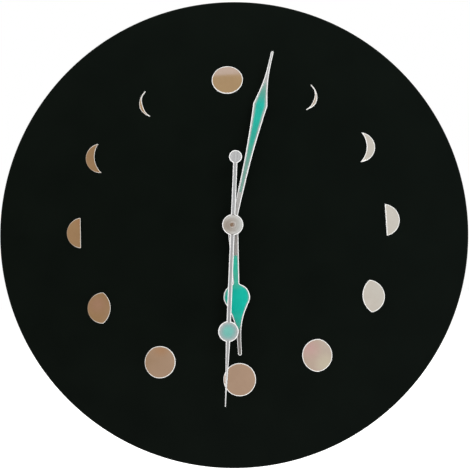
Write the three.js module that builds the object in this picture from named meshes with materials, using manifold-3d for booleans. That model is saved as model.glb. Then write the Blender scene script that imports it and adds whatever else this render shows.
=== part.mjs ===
// Frameless round wall clock with moon-phase hour marks and luminous hands, carried by a quartz movement.
// Millimetres. +Z is up, the face looks along -Y, and the wall is the plane y = 0.
// Everything is drawn in the face frame (x to the right, y up, z out of the wall towards the reader),
// and one turned group brings that frame to the part frame.

import * as THREE from 'three';
import { mergeVertices } from 'three/addons/utils/BufferGeometryUtils.js';
import Module from 'manifold-3d';

// ---- driving dimensions -------------------------------------------------------------------------

const DIAL_R = 150;             // 300 mm board
const DIAL_BACK = 17;           // rear face of the board, from the wall
const DIAL_FRONT = 20;          // front face of the board
const BUSH_HOLE_R = 4.2;        // hole in the board for the threaded bush

const MARK_RING_R = 96.4;       // circle on which the twelve marks sit
const MARK_BACK = 20.1;         // a film of adhesive under each mark
const MARK_FRONT = 21.1;

const HOUR_ANGLE = 179.2;       // degrees clockwise from twelve: about 6:02:31
const MINUTE_ANGLE = 15.14;
const SECOND_ANGLE = 184.65;
const HOUR_Z = 24.4;            // rear face of each hand
const MINUTE_Z = 26.9;
const SECOND_Z = 29.3;
const HAND_T = 0.5;             // sheet thickness of the hour and minute hands
const SECOND_T = 0.4;
const LUME_DEPTH = 0.22;        // depth of the recess that holds the luminous paint

const CASE_HALF = 28;           // 56 mm square movement
const CASE_FRONT = 16;
const CASE_WALL = 1.2;
const CASE_FLOOR = 14.6;        // inner face of the front wall
const COVER_T = 1.6;
const BAY_TOP = -11.6;          // the battery bay lies below this line
const BUSH_R = 3.95;            // M8 threaded bush
const BUSH_END = 23;

const HOUR_PIPE_R = 2.6;
const MINUTE_PIPE_R = 1.75;
const SECOND_PIN_R = 0.5;

// teeth and modules of the running train and the motion work
const SECOND_WHEEL = 40, INTER_PINION = 8, M_INTER = 0.42;
const INTER_WHEEL = 48, ROTOR_PINION = 8, M_ROTOR = 0.32;
const SECOND_PINION = 8, THIRD_WHEEL = 60, M_THIRD = 0.28;
const THIRD_PINION = 8, CENTRE_WHEEL = 64, M_CENTRE = 0.28 * 68 / 72;
const CANNON = 15, DAY_WHEEL = 45, DAY_PINION = 12, HOUR_WHEEL = 48, SETTING_PINION = 15, M_MOTION = 0.32;

// pivot positions in the face frame, all measured from the hand axis
const polar = (from, length, degrees) => [
  from[0] + length * Math.cos(THREE.MathUtils.degToRad(degrees)),
  from[1] + length * Math.sin(THREE.MathUtils.degToRad(degrees)),
];
const CENTRE = [0, 0];
const THIRD = polar(CENTRE, M_THIRD * (SECOND_PINION + THIRD_WHEEL) / 2, -10);
const INTER = polar(CENTRE, M_INTER * (SECOND_WHEEL + INTER_PINION) / 2, 150);
const ROTOR = polar(INTER, M_ROTOR * (INTER_WHEEL + ROTOR_PINION) / 2, 125);
const DAY = polar(CENTRE, M_MOTION * (CANNON + DAY_WHEEL) / 2, 62);
const SETTING = polar(DAY, M_MOTION * (DAY_WHEEL + SETTING_PINION) / 2, 10);
const PIVOT_R = 0.45;
const PIVOT_HOLE_R = 0.55;

const CELL_Y = -19.2, CELL_Z = 7.4, CELL_R = 7.1;
const COIL_Y = 22, COIL_Z = 9.6;

// ---- materials ----------------------------------------------------------------------------------

const finish = (color, roughness, metalness) => new THREE.MeshStandardMaterial({ color, roughness, metalness });
const look = {
  board: () => finish(0x10140f, 0.42, 0),
  mirror: () => finish(0xd9d5cc, 0.04, 1),
  hand: () => finish(0xc2c1bf, 0.38, 1),
  lume: () => finish(0x2cb8a2, 0.75, 0),
  paleLume: () => finish(0x8cc2b8, 0.75, 0),
  brass: () => finish(0xb99a5c, 0.3, 1),
  steel: () => finish(0xb4b5b8, 0.3, 1),
  darkSteel: () => finish(0x77797d, 0.4, 1),
  rubber: () => finish(0x1b1b1b, 0.85, 0),
  casing: () => finish(0x17181a, 0.55, 0),
  whitePlastic: () => finish(0xe6e3da, 0.5, 0),
  redPlastic: () => finish(0xb2322a, 0.5, 0),
  magnet: () => finish(0x4a4b4f, 0.45, 0.6),
  copper: () => finish(0xb3613a, 0.35, 1),
  boardGreen: () => finish(0x1f5a3a, 0.5, 0),
  resin: () => finish(0x0c0c0d, 0.35, 0),
  cell: () => finish(0x2f3438, 0.35, 0.2),
};

// ---- solids -------------------------------------------------------------------------------------

const wasm = await Module();
wasm.setup();

// a closed geometry as a solid, with its faces turned outwards
function solid(geometry) {
  const bare = geometry.clone();
  bare.deleteAttribute('normal');
  bare.deleteAttribute('uv');
  const merged = mergeVertices(bare, 1e-4);
  const index = merged.index.array;
  const build = (flip) => {
    const tri = [];
    for (let i = 0; i < index.length; i += 3) {
      const a = index[i], b = index[i + 1], c = index[i + 2];
      if (a !== b && b !== c && a !== c) tri.push(...(flip ? [a, c, b] : [a, b, c]));
    }
    return new wasm.Manifold(new wasm.Mesh({
      numProp: 3,
      vertProperties: new Float32Array(merged.attributes.position.array),
      triVerts: new Uint32Array(tri),
    }));
  };
  const first = build(false);
  return first.volume() >= 0 ? first : build(true);
}

const join = (...pieces) => pieces.reduce((a, b) => a.add(b));
const cut = (body, ...tools) => tools.reduce((a, b) => a.subtract(b), body);

function geometryOf(body) {
  const mesh = body.getMesh();
  const geometry = new THREE.BufferGeometry();
  geometry.setAttribute('position', new THREE.BufferAttribute(new Float32Array(mesh.vertProperties), 3));
  geometry.setIndex(new THREE.BufferAttribute(new Uint32Array(mesh.triVerts), 1));
  geometry.computeVertexNormals();
  return geometry;
}

const shapeOf = (points) => new THREE.Shape(points.map(([x, y]) => new THREE.Vector2(x, y)));

// an outline, with optional holes, from depth z0 to depth z1
function plate(points, z0, z1, holes = []) {
  const shape = shapeOf(points);
  for (const hole of holes) shape.holes.push(new THREE.Path(hole.map(([x, y]) => new THREE.Vector2(x, y))));
  const geometry = new THREE.ExtrudeGeometry(shape, { depth: z1 - z0, bevelEnabled: false, steps: 1 });
  return solid(geometry.translate(0, 0, z0));
}

function rod(r, z0, z1, at = CENTRE, sides = 20) {
  const geometry = new THREE.CylinderGeometry(r, r, z1 - z0, sides).rotateX(Math.PI / 2);
  return solid(geometry.translate(at[0], at[1], (z0 + z1) / 2));
}

// a profile of [radius, depth] pairs turned about the axis through a point
function turned(profile, at = CENTRE, sides = 32) {
  const geometry = new THREE.LatheGeometry(profile.map(([r, z]) => new THREE.Vector2(r, z)), sides).rotateX(Math.PI / 2);
  return solid(geometry.translate(at[0], at[1], 0));
}

const ring = (r0, r1, z0, z1, at = CENTRE, sides = 32) =>
  turned([[r0, z0], [r1, z0], [r1, z1], [r0, z1], [r0, z0]], at, sides);

const block = (x0, x1, y0, y1, z0, z1) =>
  solid(new THREE.BoxGeometry(x1 - x0, y1 - y0, z1 - z0).translate((x0 + x1) / 2, (y0 + y1) / 2, (z0 + z1) / 2));

const circle = (cx, cy, r, n = 32) =>
  Array.from({ length: n }, (_, i) => [cx + r * Math.cos(2 * Math.PI * i / n), cy + r * Math.sin(2 * Math.PI * i / n)]);

function roundedRect(x0, y0, x1, y1, r, n = 5) {
  const out = [];
  for (const [cx, cy, a] of [[x1 - r, y0 + r, -90], [x1 - r, y1 - r, 0], [x0 + r, y1 - r, 90], [x0 + r, y0 + r, 180]]) {
    for (let i = 0; i <= n; i++) out.push(polar([cx, cy], r, a + 90 * i / n));
  }
  return out;
}

// ---- gears --------------------------------------------------------------------------------------

const involute = (angle) => Math.tan(angle) - angle;

// slim involute teeth: a tooth is centred on the angle "phase"; pinions take a middle point on each flank
function gearOutline(teeth, module, phase, pinion = false) {
  const pitch = teeth * module / 2;
  const base = pitch * Math.cos(THREE.MathUtils.degToRad(20));
  const tip = pitch + (pinion ? 0.8 : 0.75) * module;
  const root = pitch - 1.15 * module;
  const half = (r) => {
    const at = Math.max(r, base);
    return 0.39 * Math.PI / teeth + involute(THREE.MathUtils.degToRad(20)) - involute(Math.acos(base / at));
  };
  const flank = pinion
    ? [[root, half(root) * 0.8], [pitch, half(pitch)], [tip, Math.max(half(tip), 0.02)]]
    : [[root, half(root)], [tip, Math.max(half(tip), 0.004)]];
  const out = [];
  for (let i = 0; i < teeth; i++) {
    const middle = phase + 2 * Math.PI * i / teeth;
    for (const [r, a] of flank) out.push([r * Math.cos(middle - a), r * Math.sin(middle - a)]);
    for (const [r, a] of [...flank].reverse()) out.push([r * Math.cos(middle + a), r * Math.sin(middle + a)]);
  }
  return out;
}

const gear = (teeth, module, phase, z0, z1, at, pinion = false) =>
  plate(gearOutline(teeth, module, phase, pinion).map(([x, y]) => [x + at[0], y + at[1]]), z0, z1);

// the phase of wheel B that puts one of its gaps on a tooth of wheel A
function meshed(teethA, phaseA, a, teethB, b) {
  const line = Math.atan2(b[1] - a[1], b[0] - a[0]);
  return line + Math.PI - (Math.PI - teethA * (line - phaseA)) / teethB;
}

// ---- the scene graph ----------------------------------------------------------------------------

const clock = new THREE.Group();
const face = new THREE.Group();
face.rotation.x = Math.PI / 2;
clock.add(face);

function piece(name, body, material, parent = face) {
  const mesh = new THREE.Mesh(geometryOf(body), material);
  mesh.name = name;
  parent.add(mesh);
  return mesh;
}

// ---- dial and hour marks ------------------------------------------------------------------------

piece('dial_disc', ring(BUSH_HOLE_R, DIAL_R, DIAL_BACK, DIAL_FRONT, CENTRE, 96), look.board());

const inside = (p, c) => Math.hypot(p[0] - c[0], p[1] - c[1]) < c[2];

// points of one arc of a circle [x, y, r] from p to q, taken on the side that "wanted" accepts
function arc(c, p, q, wanted) {
  const a0 = Math.atan2(p[1] - c[1], p[0] - c[0]);
  const a1 = Math.atan2(q[1] - c[1], q[0] - c[0]);
  let sweep = ((a1 - a0) % (2 * Math.PI) + 2 * Math.PI) % (2 * Math.PI);
  const at = (a) => [c[0] + c[2] * Math.cos(a), c[1] + c[2] * Math.sin(a)];
  if (!wanted(at(a0 + sweep / 2))) sweep -= 2 * Math.PI;
  const n = Math.max(6, Math.ceil(Math.abs(sweep) * c[2] / 2.2));
  return Array.from({ length: n }, (_, i) => at(a0 + sweep * i / n));
}

function crossings(a, b) {
  const dx = b[0] - a[0], dy = b[1] - a[1], d = Math.hypot(dx, dy);
  const along = (a[2] ** 2 - b[2] ** 2 + d * d) / (2 * d);
  const across = Math.sqrt(a[2] ** 2 - along ** 2);
  const mx = a[0] + along * dx / d, my = a[1] + along * dy / d;
  return [[mx - across * dy / d, my + across * dx / d], [mx + across * dy / d, my - across * dx / d]];
}

// the part of disc a that lies inside disc b (gibbous moon) or outside it (crescent)
function moon(a, b, crescent) {
  const [p, q] = crossings(a, b);
  return [
    ...arc(a, p, q, (m) => inside(m, b) !== crescent),
    ...arc(b, q, p, (m) => inside(m, a)),
  ];
}

// the part of disc a on one side of a straight vertical edge
function halfMoon(a, edge, side) {
  const rise = Math.sqrt(a[2] ** 2 - (edge - a[0]) ** 2);
  const p = [edge, a[1] + rise], q = [edge, a[1] - rise];
  return [...arc(a, p, q, (m) => Math.sign(m[0] - edge) === side), q];
}

// a thin crescent drawn along its middle line, from [x, y, half width] points, with a point at each end
function sickle(spine) {
  const last = spine.length - 1;
  const along = (i) => {
    const p = spine[Math.max(i - 1, 0)], q = spine[Math.min(i + 1, last)], l = Math.hypot(q[0] - p[0], q[1] - p[1]);
    return [(q[0] - p[0]) / l, (q[1] - p[1]) / l];
  };
  const side = (s) => spine.map(([x, y, w], i) => [x - s * w * along(i)[1], y + s * w * along(i)[0]]);
  const tip = (i, s) => [spine[i][0] + s * spine[i][2] * along(i)[0], spine[i][1] + s * spine[i][2] * along(i)[1]];
  return [...side(1), tip(last, 1), ...side(-1).reverse(), tip(0, -1)];
}

const MARKS = {
  12: circle(0, 0, 1, 32).map(([x, y]) => [0.21 + 10.11 * x, -0.13 + 9.15 * y]),
  1: sickle([[6.5, 6.98, 0.22], [7.3, 5.82, 0.26], [7.98, 4.97, 0.29], [8.82, 3.26, 0.37], [9.24, 1.41, 0.53], [9.32, -0.5, 0.74], [9.04, -2.39, 0.96],
    [8.42, -4.18, 1.07], [7.48, -5.82, 0.98], [6.26, -7.12, 0.71], [4.8, -8.2, 0.42], [3.22, -9.08, 0.26], [2.72, -9.34, 0.21]]),
  2: moon([0.45, -0.44, 9.69], [-9.43, 0.57, 14.38], true),
  3: halfMoon([-0.42, -0.07, 10.27], 1.22, 1),
  4: moon([-0.08, 0.32, 10.27], [9.19, 0.39, 12.84], false),
  5: moon([0.2, 0.38, 10.22], [1.86, 0.15, 10.09], false),
  6: circle(0.29, 0.17, 10.09, 32),
  7: moon([-0.32, -0.09, 10.16], [-1.1, -0.11, 9.85], false),
  8: moon([-0.83, -0.31, 9.69], [-8.51, -0.17, 12.55], false),
  9: halfMoon([-0.32, -0.28, 9.79], -1.2, -1),
  10: moon([-0.44, -0.4, 9.62], [10.25, 0.5, 14.65], true),
  11: sickle([[-5.62, 7.38, 0.24], [-6.4, 6.45, 0.29], [-7.29, 5.3, 0.32], [-8.12, 3.7, 0.41], [-8.6, 1.98, 0.57], [-8.77, 0.18, 0.81], [-8.63, -1.62, 1.02],
    [-8.2, -3.38, 1.11], [-7.48, -5.04, 1], [-6.47, -6.53, 0.74], [-5.18, -7.81, 0.48], [-3.6, -8.85, 0.3], [-3.12, -9.12, 0.22]]),
};
for (const [hour, outline] of Object.entries(MARKS)) {
  const spot = polar(CENTRE, MARK_RING_R, 90 - 30 * hour);
  const mark = piece(`marker_${hour}`, plate(outline, MARK_BACK, MARK_FRONT), look.mirror());
  mark.position.set(spot[0], spot[1], 0);
}

// ---- hands: drawn pointing up, then turned to the time ------------------------------------------

function handGroup(degrees) {
  const group = new THREE.Group();
  group.rotation.z = -THREE.MathUtils.degToRad(degrees);
  face.add(group);
  return group;
}

// a symmetrical outline from [distance, half width] pairs, with an optional round end
function blade(pairs, tip) {
  const right = pairs.map(([y, w]) => [w, y]);
  const left = [...pairs].reverse().map(([y, w]) => [-w, y]);
  const end = [];
  if (tip) {
    const [y, w] = pairs[pairs.length - 1];
    for (let i = 1; i < 6; i++) end.push([w * Math.cos(Math.PI * i / 6), y + w * Math.sin(Math.PI * i / 6)]);
  }
  return [...right, ...end, ...left];
}

const HOUR_BLADE = [[2, 3.15], [10, 2.94], [20, 2.56], [30, 2.2], [36.1, 1.97], [36.8, 2.2], [38, 4.35], [39.4, 6.1], [41, 7.2], [43, 7.96], [45, 8.22],
  [47, 7.92], [50, 6.52], [54, 4.65], [58, 3.18], [62, 2.16], [66, 1.55], [72, 1.2], [79.75, 1.14]];
const HOUR_LUME = [[19, 1.75], [30, 1.5], [36.2, 1.28], [37.4, 1.9], [38.8, 4.1], [40.4, 6], [42, 6.9], [43.5, 7.3], [45, 7.45], [46.6, 7.25], [48.5, 6.55], [51, 5.25],
  [54, 3.9], [57, 2.7], [60, 1.82], [63, 1.12], [65.4, 0.25]];
const MINUTE_BLADE = [[3, 1.7], [12, 1.65], [19.3, 1.68], [24, 1.74], [30, 1.8], [36, 1.92], [48, 2.3], [60, 3], [72, 3.88], [79.3, 4.58], [84, 3.5], [90, 2.3], [96, 1.42],
  [102, 0.95], [108, 0.8], [114.7, 0.8]];
const MINUTE_LUME = [[21.3, 0.7], [30, 0.85], [36, 1], [48, 1.45], [60, 2.1], [72, 2.85], [79.1, 3.55], [84, 2.55], [90, 1.42], [94.4, 0.35]];
const SECOND_BLADE = [[-43.2, 1.28], [0, 1.3], [65.8, 1.32], [74, 1.2], [80, 1.04], [86, 0.85], [92, 0.64], [98, 0.46], [104, 0.31], [110.6, 0.26]];
const grown = (pairs, by) => pairs.map(([y, w], i) => [y + (i === 0 ? -by : i === pairs.length - 1 ? by : 0), w + by]);

const hourGroup = handGroup(HOUR_ANGLE);
piece('hour_hand', cut(
  join(plate(blade(HOUR_BLADE, true), HOUR_Z, HOUR_Z + HAND_T), rod(5.9, HOUR_Z, HOUR_Z + HAND_T, CENTRE, 32), rod(3.5, HOUR_Z - 1.1, HOUR_Z + 0.2, CENTRE, 24)),
  rod(HOUR_PIPE_R + 0.08, HOUR_Z - 2, HOUR_Z + 2, CENTRE, 24),
  plate(blade(grown(HOUR_LUME, 0.1)), HOUR_Z + HAND_T - LUME_DEPTH, HOUR_Z + 2),
), look.hand(), hourGroup);
piece('hour_hand_lume', plate(blade(HOUR_LUME), HOUR_Z + HAND_T - LUME_DEPTH + 0.06, HOUR_Z + HAND_T + 0.04), look.lume(), hourGroup);

const minuteGroup = handGroup(MINUTE_ANGLE);
piece('minute_hand', cut(
  join(plate(blade(MINUTE_BLADE, true), MINUTE_Z, MINUTE_Z + HAND_T), rod(6.2, MINUTE_Z, MINUTE_Z + HAND_T, CENTRE, 32), rod(2.8, MINUTE_Z - 0.8, MINUTE_Z + 0.2, CENTRE, 24)),
  rod(MINUTE_PIPE_R + 0.08, MINUTE_Z - 2, MINUTE_Z + 2, CENTRE, 24),
  plate(blade(grown(MINUTE_LUME, 0.1)), MINUTE_Z + HAND_T - LUME_DEPTH, MINUTE_Z + 2),
), look.hand(), minuteGroup);
piece('minute_hand_lume', plate(blade(MINUTE_LUME), MINUTE_Z + HAND_T - LUME_DEPTH + 0.06, MINUTE_Z + HAND_T + 0.04), look.lume(), minuteGroup);

const secondGroup = handGroup(SECOND_ANGLE);
const LUME_SPOT = [0, 65.8], TAIL_SPOT = [0, -43.2];
piece('second_hand', cut(
  join(
    plate(blade(SECOND_BLADE, true), SECOND_Z, SECOND_Z + SECOND_T),
    rod(6.5, SECOND_Z, SECOND_Z + SECOND_T, CENTRE, 32),
    rod(6.2, SECOND_Z, SECOND_Z + SECOND_T, LUME_SPOT, 28),
    rod(4.05, SECOND_Z, SECOND_Z + SECOND_T, TAIL_SPOT, 24),
  ),
  rod(1.03, SECOND_Z - 1, SECOND_Z + 1, CENTRE, 16),
  rod(5.55, SECOND_Z + SECOND_T - 0.2, SECOND_Z + 1, LUME_SPOT, 24),
), look.hand(), secondGroup);
piece('second_hand_lume', rod(5.45, SECOND_Z + SECOND_T - 0.14, SECOND_Z + SECOND_T + 0.04, LUME_SPOT, 24), look.paleLume(), secondGroup);
piece('second_hand_tube', turned([[0, 29.65], [0.58, 29.65], [0.58, 28.4], [0.95, 28.4], [0.95, 29.75], [2.1, 29.75], [2.1, 29.9], [1.75, 30.18], [1.1, 30.38], [0, 30.48]], CENTRE, 20),
  look.brass(), secondGroup);

// ---- what clamps the movement to the board ------------------------------------------------------

piece('rubber_gasket', ring(BUSH_R + 0.15, 12, CASE_FRONT + 0.1, DIAL_BACK - 0.1, CENTRE, 28), look.rubber());
piece('fixing_washer', ring(BUSH_R + 0.15, 5.5, DIAL_FRONT + 0.1, DIAL_FRONT + 0.6, CENTRE, 24), look.brass());
piece('fixing_nut', plate(circle(0, 0, 5.77, 6), DIAL_FRONT + 0.7, DIAL_FRONT + 2.7, [circle(0, 0, BUSH_R + 0.1, 24)]), look.brass());

// ---- movement case ------------------------------------------------------------------------------

const inner = CASE_HALF - CASE_WALL;
const PILLARS = [[-24.6, -8.2], [-24.6, 4.2], [17.2, -8.4], [17.2, 15.6]];
const BOARD_POSTS = [[22.6, 22], [22.6, -6]];
const STATOR_POSTS = [[-24.7, 14.8], [-2.3, 15.5]];
const POST_BACK = 3.3;

const shell = cut(
  join(
    plate(roundedRect(-CASE_HALF, -CASE_HALF, CASE_HALF, CASE_HALF, 3), COVER_T + 0.1, CASE_FRONT),
    plate(roundedRect(-CASE_HALF, -CASE_HALF, CASE_HALF, CASE_HALF, 3), 0.3, COVER_T + 0.2).intersect(block(-40, 40, -40, BAY_TOP + 0.25, -1, 3)),
  ),
  block(-inner, inner, BAY_TOP + 1, inner, -1, CASE_FLOOR),
  block(-inner, inner, -inner, BAY_TOP, -1, CASE_FLOOR),
  block(-inner, -inner + 1, BAY_TOP - 0.2, BAY_TOP + 1.2, -1, 5.8),
  block(inner - 1, inner, BAY_TOP - 0.2, BAY_TOP + 1.2, -1, 5.8),
);
const SEAM = BAY_TOP + 1;       // seam between the train housing and the bay
piece('battery_bay', shell.intersect(block(-40, 40, -40, SEAM - 0.05, -1, 20)), look.casing());

let tray = join(
  shell.intersect(block(-40, 40, SEAM + 0.05, 40, -1, 20)),
  rod(BUSH_R, CASE_FLOOR + 0.4, BUSH_END, CENTRE, 24),
  rod(0.6, 9.8, CASE_FLOOR + 0.4, DAY, 16),
  rod(1.25, 10.3, CASE_FLOOR + 0.4, THIRD, 16),
  rod(0.9, 7.4, CASE_FLOOR + 0.4, INTER, 16),
  rod(1.4, 10.6, CASE_FLOOR + 0.4, ROTOR, 16),
  rod(1.9, 11.9, CASE_FLOOR + 0.4, SETTING, 16),
  ...[...PILLARS, ...BOARD_POSTS].map((at) => rod(1.4, POST_BACK, CASE_FLOOR + 0.4, at, 12)),
  ...PILLARS.map((at) => rod(0.6, POST_BACK - 1.4, POST_BACK + 0.4, at, 12)),
  ...STATOR_POSTS.map((at) => rod(1.1, 9.1, CASE_FLOOR + 0.4, at, 12)),
);
tray = cut(
  tray,
  rod(HOUR_PIPE_R + 0.1, CASE_FLOOR - 1, BUSH_END + 1, CENTRE, 24),
  rod(PIVOT_HOLE_R, 10, 12.4, THIRD, 16),
  rod(PIVOT_HOLE_R, 7, 9, INTER, 16),
  rod(PIVOT_HOLE_R, 10, 12.4, ROTOR, 16),
  rod(1.2, 11, 13.5, SETTING, 16),
);
piece('case_front', tray, look.casing());

const eye = roundedRect(-4.2, 30.4, 4.2, 36.4, 2.2, 4);
piece('rear_cover', cut(
  join(
    plate(roundedRect(-CASE_HALF, -11.1, CASE_HALF, CASE_HALF, 3), 0, COVER_T),
    plate(roundedRect(-8, 24, 8, 39.6, 5), 0, COVER_T),
    plate(roundedRect(-8, 20, 8, 39.6, 5), 0, 3).intersect(block(-20, 20, CASE_HALF + 0.3, 60, -1, 4)),
  ),
  plate(eye, -1, 5),
  rod(6.1, -1, 3, SETTING, 32),
), look.casing());

piece('train_plate', plate([[-26, -9.6], [18.4, -9.6], [18.4, 17], [-26, 17]], 2.2, 3.2, [
  ...[CENTRE, INTER, ROTOR, THIRD].map(([x, y]) => circle(x, y, PIVOT_HOLE_R + 0.05, 16)),
  circle(SETTING[0], SETTING[1], 1.3, 16),
  ...PILLARS.map(([x, y]) => circle(x, y, 0.75, 12)),
]), look.whitePlastic());

// ---- running train: rotor, intermediate wheel, seconds wheel, third wheel, centre wheel ---------

const BACK_PIVOT = 2.35;        // pivots end inside the train plate
const interPinionPhase = meshed(SECOND_WHEEL, 0, CENTRE, INTER_PINION, INTER);
const rotorPhase = meshed(INTER_WHEEL, 0, INTER, ROTOR_PINION, ROTOR);
const thirdPhase = meshed(SECOND_PINION, 0, CENTRE, THIRD_WHEEL, THIRD);
const centrePhase = meshed(THIRD_PINION, 0, THIRD, CENTRE_WHEEL, CENTRE);

piece('second_wheel', cut(
  join(gear(SECOND_WHEEL, M_INTER, 0, 4, 5, CENTRE), rod(0.85, 4.8, 7, CENTRE, 16), gear(SECOND_PINION, M_THIRD, 0, 6.6, 7.8, CENTRE, true)),
  rod(SECOND_PIN_R + 0.03, 3, 9, CENTRE, 16),
), look.whitePlastic());
piece('second_arbor', rod(SECOND_PIN_R, BACK_PIVOT, 29.55, CENTRE, 16), look.steel());

piece('intermediate_wheel', join(
  gear(INTER_PINION, M_INTER, interPinionPhase, 3.7, 5.5, INTER, true),
  gear(INTER_WHEEL, M_ROTOR, 0, 5.4, 6.4, INTER),
  rod(PIVOT_R, BACK_PIVOT, 8.6, INTER, 16),
  rod(1.1, 6.2, 7.1, INTER, 16),
), look.whitePlastic());

piece('rotor_pinion', join(
  gear(ROTOR_PINION, M_ROTOR, rotorPhase, 5.1, 6.9, ROTOR, true),
  rod(PIVOT_R, BACK_PIVOT, 12, ROTOR, 16),
), look.whitePlastic());
piece('rotor_magnet', ring(PIVOT_R + 0.04, 3, 7.2, 10.2, ROTOR, 20), look.magnet());

piece('third_wheel', join(
  gear(THIRD_WHEEL, M_THIRD, thirdPhase, 6.9, 7.7, THIRD),
  gear(THIRD_PINION, M_CENTRE, 0, 7.6, 9.8, THIRD, true),
  rod(PIVOT_R, BACK_PIVOT, 12, THIRD, 16),
), look.whitePlastic());

piece('centre_wheel', cut(
  gear(CENTRE_WHEEL, M_CENTRE, centrePhase, 8.6, 9.4, CENTRE),
  rod(MINUTE_PIPE_R + 0.09, 8, 10, CENTRE, 24),
), look.whitePlastic());

// ---- motion work and hand setting ---------------------------------------------------------------

const dayPhase = meshed(CANNON, 0, CENTRE, DAY_WHEEL, DAY);
const hourPhase = meshed(DAY_PINION, 0, DAY, HOUR_WHEEL, CENTRE);
const settingPhase = meshed(DAY_WHEEL, dayPhase, DAY, SETTING_PINION, SETTING);

piece('minute_arbor', cut(
  join(
    rod(2.4, 8.05, 8.4, CENTRE, 20), rod(MINUTE_PIPE_R, 8.2, 28.2, CENTRE, 20), rod(2, 9.6, 10.4, CENTRE, 20),
    gear(CANNON, M_MOTION, 0, 10.2, 11.6, CENTRE, true),
  ),
  rod(SECOND_PIN_R + 0.1, 7, 30, CENTRE, 16),
), look.brass());

piece('hour_wheel', cut(
  join(gear(HOUR_WHEEL, M_MOTION, hourPhase, 12.6, 13.6, CENTRE), rod(HOUR_PIPE_R, 12.6, 25.8, CENTRE, 24)),
  rod(MINUTE_PIPE_R + 0.1, 11, 28, CENTRE, 24),
), look.whitePlastic());

piece('day_wheel', cut(
  join(gear(DAY_WHEEL, M_MOTION, dayPhase, 10.4, 11.2, DAY), gear(DAY_PINION, M_MOTION, 0, 11.1, 13.8, DAY, true)),
  rod(0.68, 9, 15, DAY, 16),
), look.whitePlastic());

// thumb wheel with a fluted rim, its stem and its pinion
const flutes = Array.from({ length: 36 }, (_, i) => polar(SETTING, i % 2 ? 5.2 : 5.6, i * 10));
piece('setting_knob', join(
  plate(flutes, 0.3, 2, []),
  rod(1.1, 1.8, 13.2, SETTING, 16),
  gear(SETTING_PINION, M_MOTION, settingPhase, 10.2, 11.4, SETTING, true),
), look.whitePlastic());

// ---- stepping motor -----------------------------------------------------------------------------

piece('stator', plate(
  [[-26, 24.2], [-26, 13], [-20, 7.6], [-8.5, 7.6], [-1, 11], [-1, 24.2], [-3.6, 24.2], [-3.6, 17.5], [-23.4, 17.5], [-23.4, 24.2]],
  8, 9, [circle(ROTOR[0], ROTOR[1], 3.6, 24)]), look.darkSteel());
piece('coil_core', block(-26, -1, COIL_Y - 1.2, COIL_Y + 1.2, 9.1, 10.1), look.darkSteel());

const spool = (profile) => {
  const geometry = new THREE.LatheGeometry(profile.map(([r, x]) => new THREE.Vector2(r, x)), 20).rotateZ(-Math.PI / 2);
  return solid(geometry.translate(0, COIL_Y, COIL_Z));
};
piece('coil_bobbin', cut(
  spool([[0, -22.5], [3.9, -22.5], [3.9, -21.7], [2.2, -21.7], [2.2, -5.3], [3.9, -5.3], [3.9, -4.5], [0, -4.5]]),
  block(-30, 0, COIL_Y - 1.4, COIL_Y + 1.4, COIL_Z - 0.7, COIL_Z + 0.7),
), look.whitePlastic());
piece('coil_winding', spool([[2.35, -21.5], [3.5, -21.5], [3.5, -5.5], [2.35, -5.5], [2.35, -21.5]]), look.copper());

// ---- circuit ------------------------------------------------------------------------------------

piece('circuit_board', block(19, 25.9, -10.4, 25, 2.2, 3.2), look.boardGreen());
piece('ic_blob', turned([[0, 3.3], [3, 3.3], [2.8, 3.8], [2.1, 4.3], [1.1, 4.55], [0, 4.6]], [22.6, 1.5], 20), look.resin());
piece('quartz_crystal', solid(new THREE.CylinderGeometry(1, 1, 6, 16).translate(22.6, 12.5, 4.4)), look.steel());

// ---- battery ------------------------------------------------------------------------------------

const cellProfile = [[0, -26], [2.7, -26], [2.7, -24.8], [6.6, -24.8], [CELL_R, -24.3], [CELL_R, 23.9], [6.6, 24.4], [0, 24.4]];
piece('aa_cell', solid(new THREE.LatheGeometry(cellProfile.map(([r, x]) => new THREE.Vector2(r, x)), 28)
  .rotateZ(-Math.PI / 2).translate(0, CELL_Y, CELL_Z)), look.cell());
piece('contact_positive', join(
  block(-26.65, -26.25, -24.5, -13.9, 3, 12),
  block(-26.65, -26.25, -14, -10.05, 3.3, 5.4),
  block(-26.65, 20.5, -10.45, -10.05, 3.3, 5.4),
), look.steel());
piece('contact_negative', join(
  block(26.25, 26.65, -24.5, -13.9, 3, 12),
  plate([[26.3, -24], [24.6, -19.6], [24.6, -18.8], [26.3, -14.4], [26.3, -14.9], [24.98, -19], [24.98, -19.4], [26.3, -23.5]], 5, 10),
  block(26.25, 26.65, -14, -9, 3.3, 5.4),
  block(24.6, 26.65, -9.4, -9, 3.3, 5.4),
), look.steel());

export default clock;
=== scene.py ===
# Looks of a frameless wall clock: black disc, mirror moon marks, luminous hands, quartz movement behind.
# Metres in the CAD frame: +Z up, the face looks along -Y, the wall is y = 0.
import math

import bpy
from mathutils import Matrix, Vector
from mathutils.geometry import tessellate_polygon


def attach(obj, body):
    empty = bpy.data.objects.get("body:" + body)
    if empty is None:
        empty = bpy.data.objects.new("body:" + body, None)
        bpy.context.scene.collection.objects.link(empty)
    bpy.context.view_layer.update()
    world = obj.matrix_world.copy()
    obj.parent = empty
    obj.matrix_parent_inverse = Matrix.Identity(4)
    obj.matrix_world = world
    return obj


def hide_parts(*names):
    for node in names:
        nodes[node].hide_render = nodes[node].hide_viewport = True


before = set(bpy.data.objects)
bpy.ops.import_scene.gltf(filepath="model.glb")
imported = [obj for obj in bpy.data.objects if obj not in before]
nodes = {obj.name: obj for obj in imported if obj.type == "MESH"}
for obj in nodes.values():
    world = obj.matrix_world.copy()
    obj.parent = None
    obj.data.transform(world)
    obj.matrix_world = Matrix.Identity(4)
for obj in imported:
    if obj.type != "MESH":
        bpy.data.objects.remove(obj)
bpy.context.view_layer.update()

scene = bpy.context.scene
MM = 0.001

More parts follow.
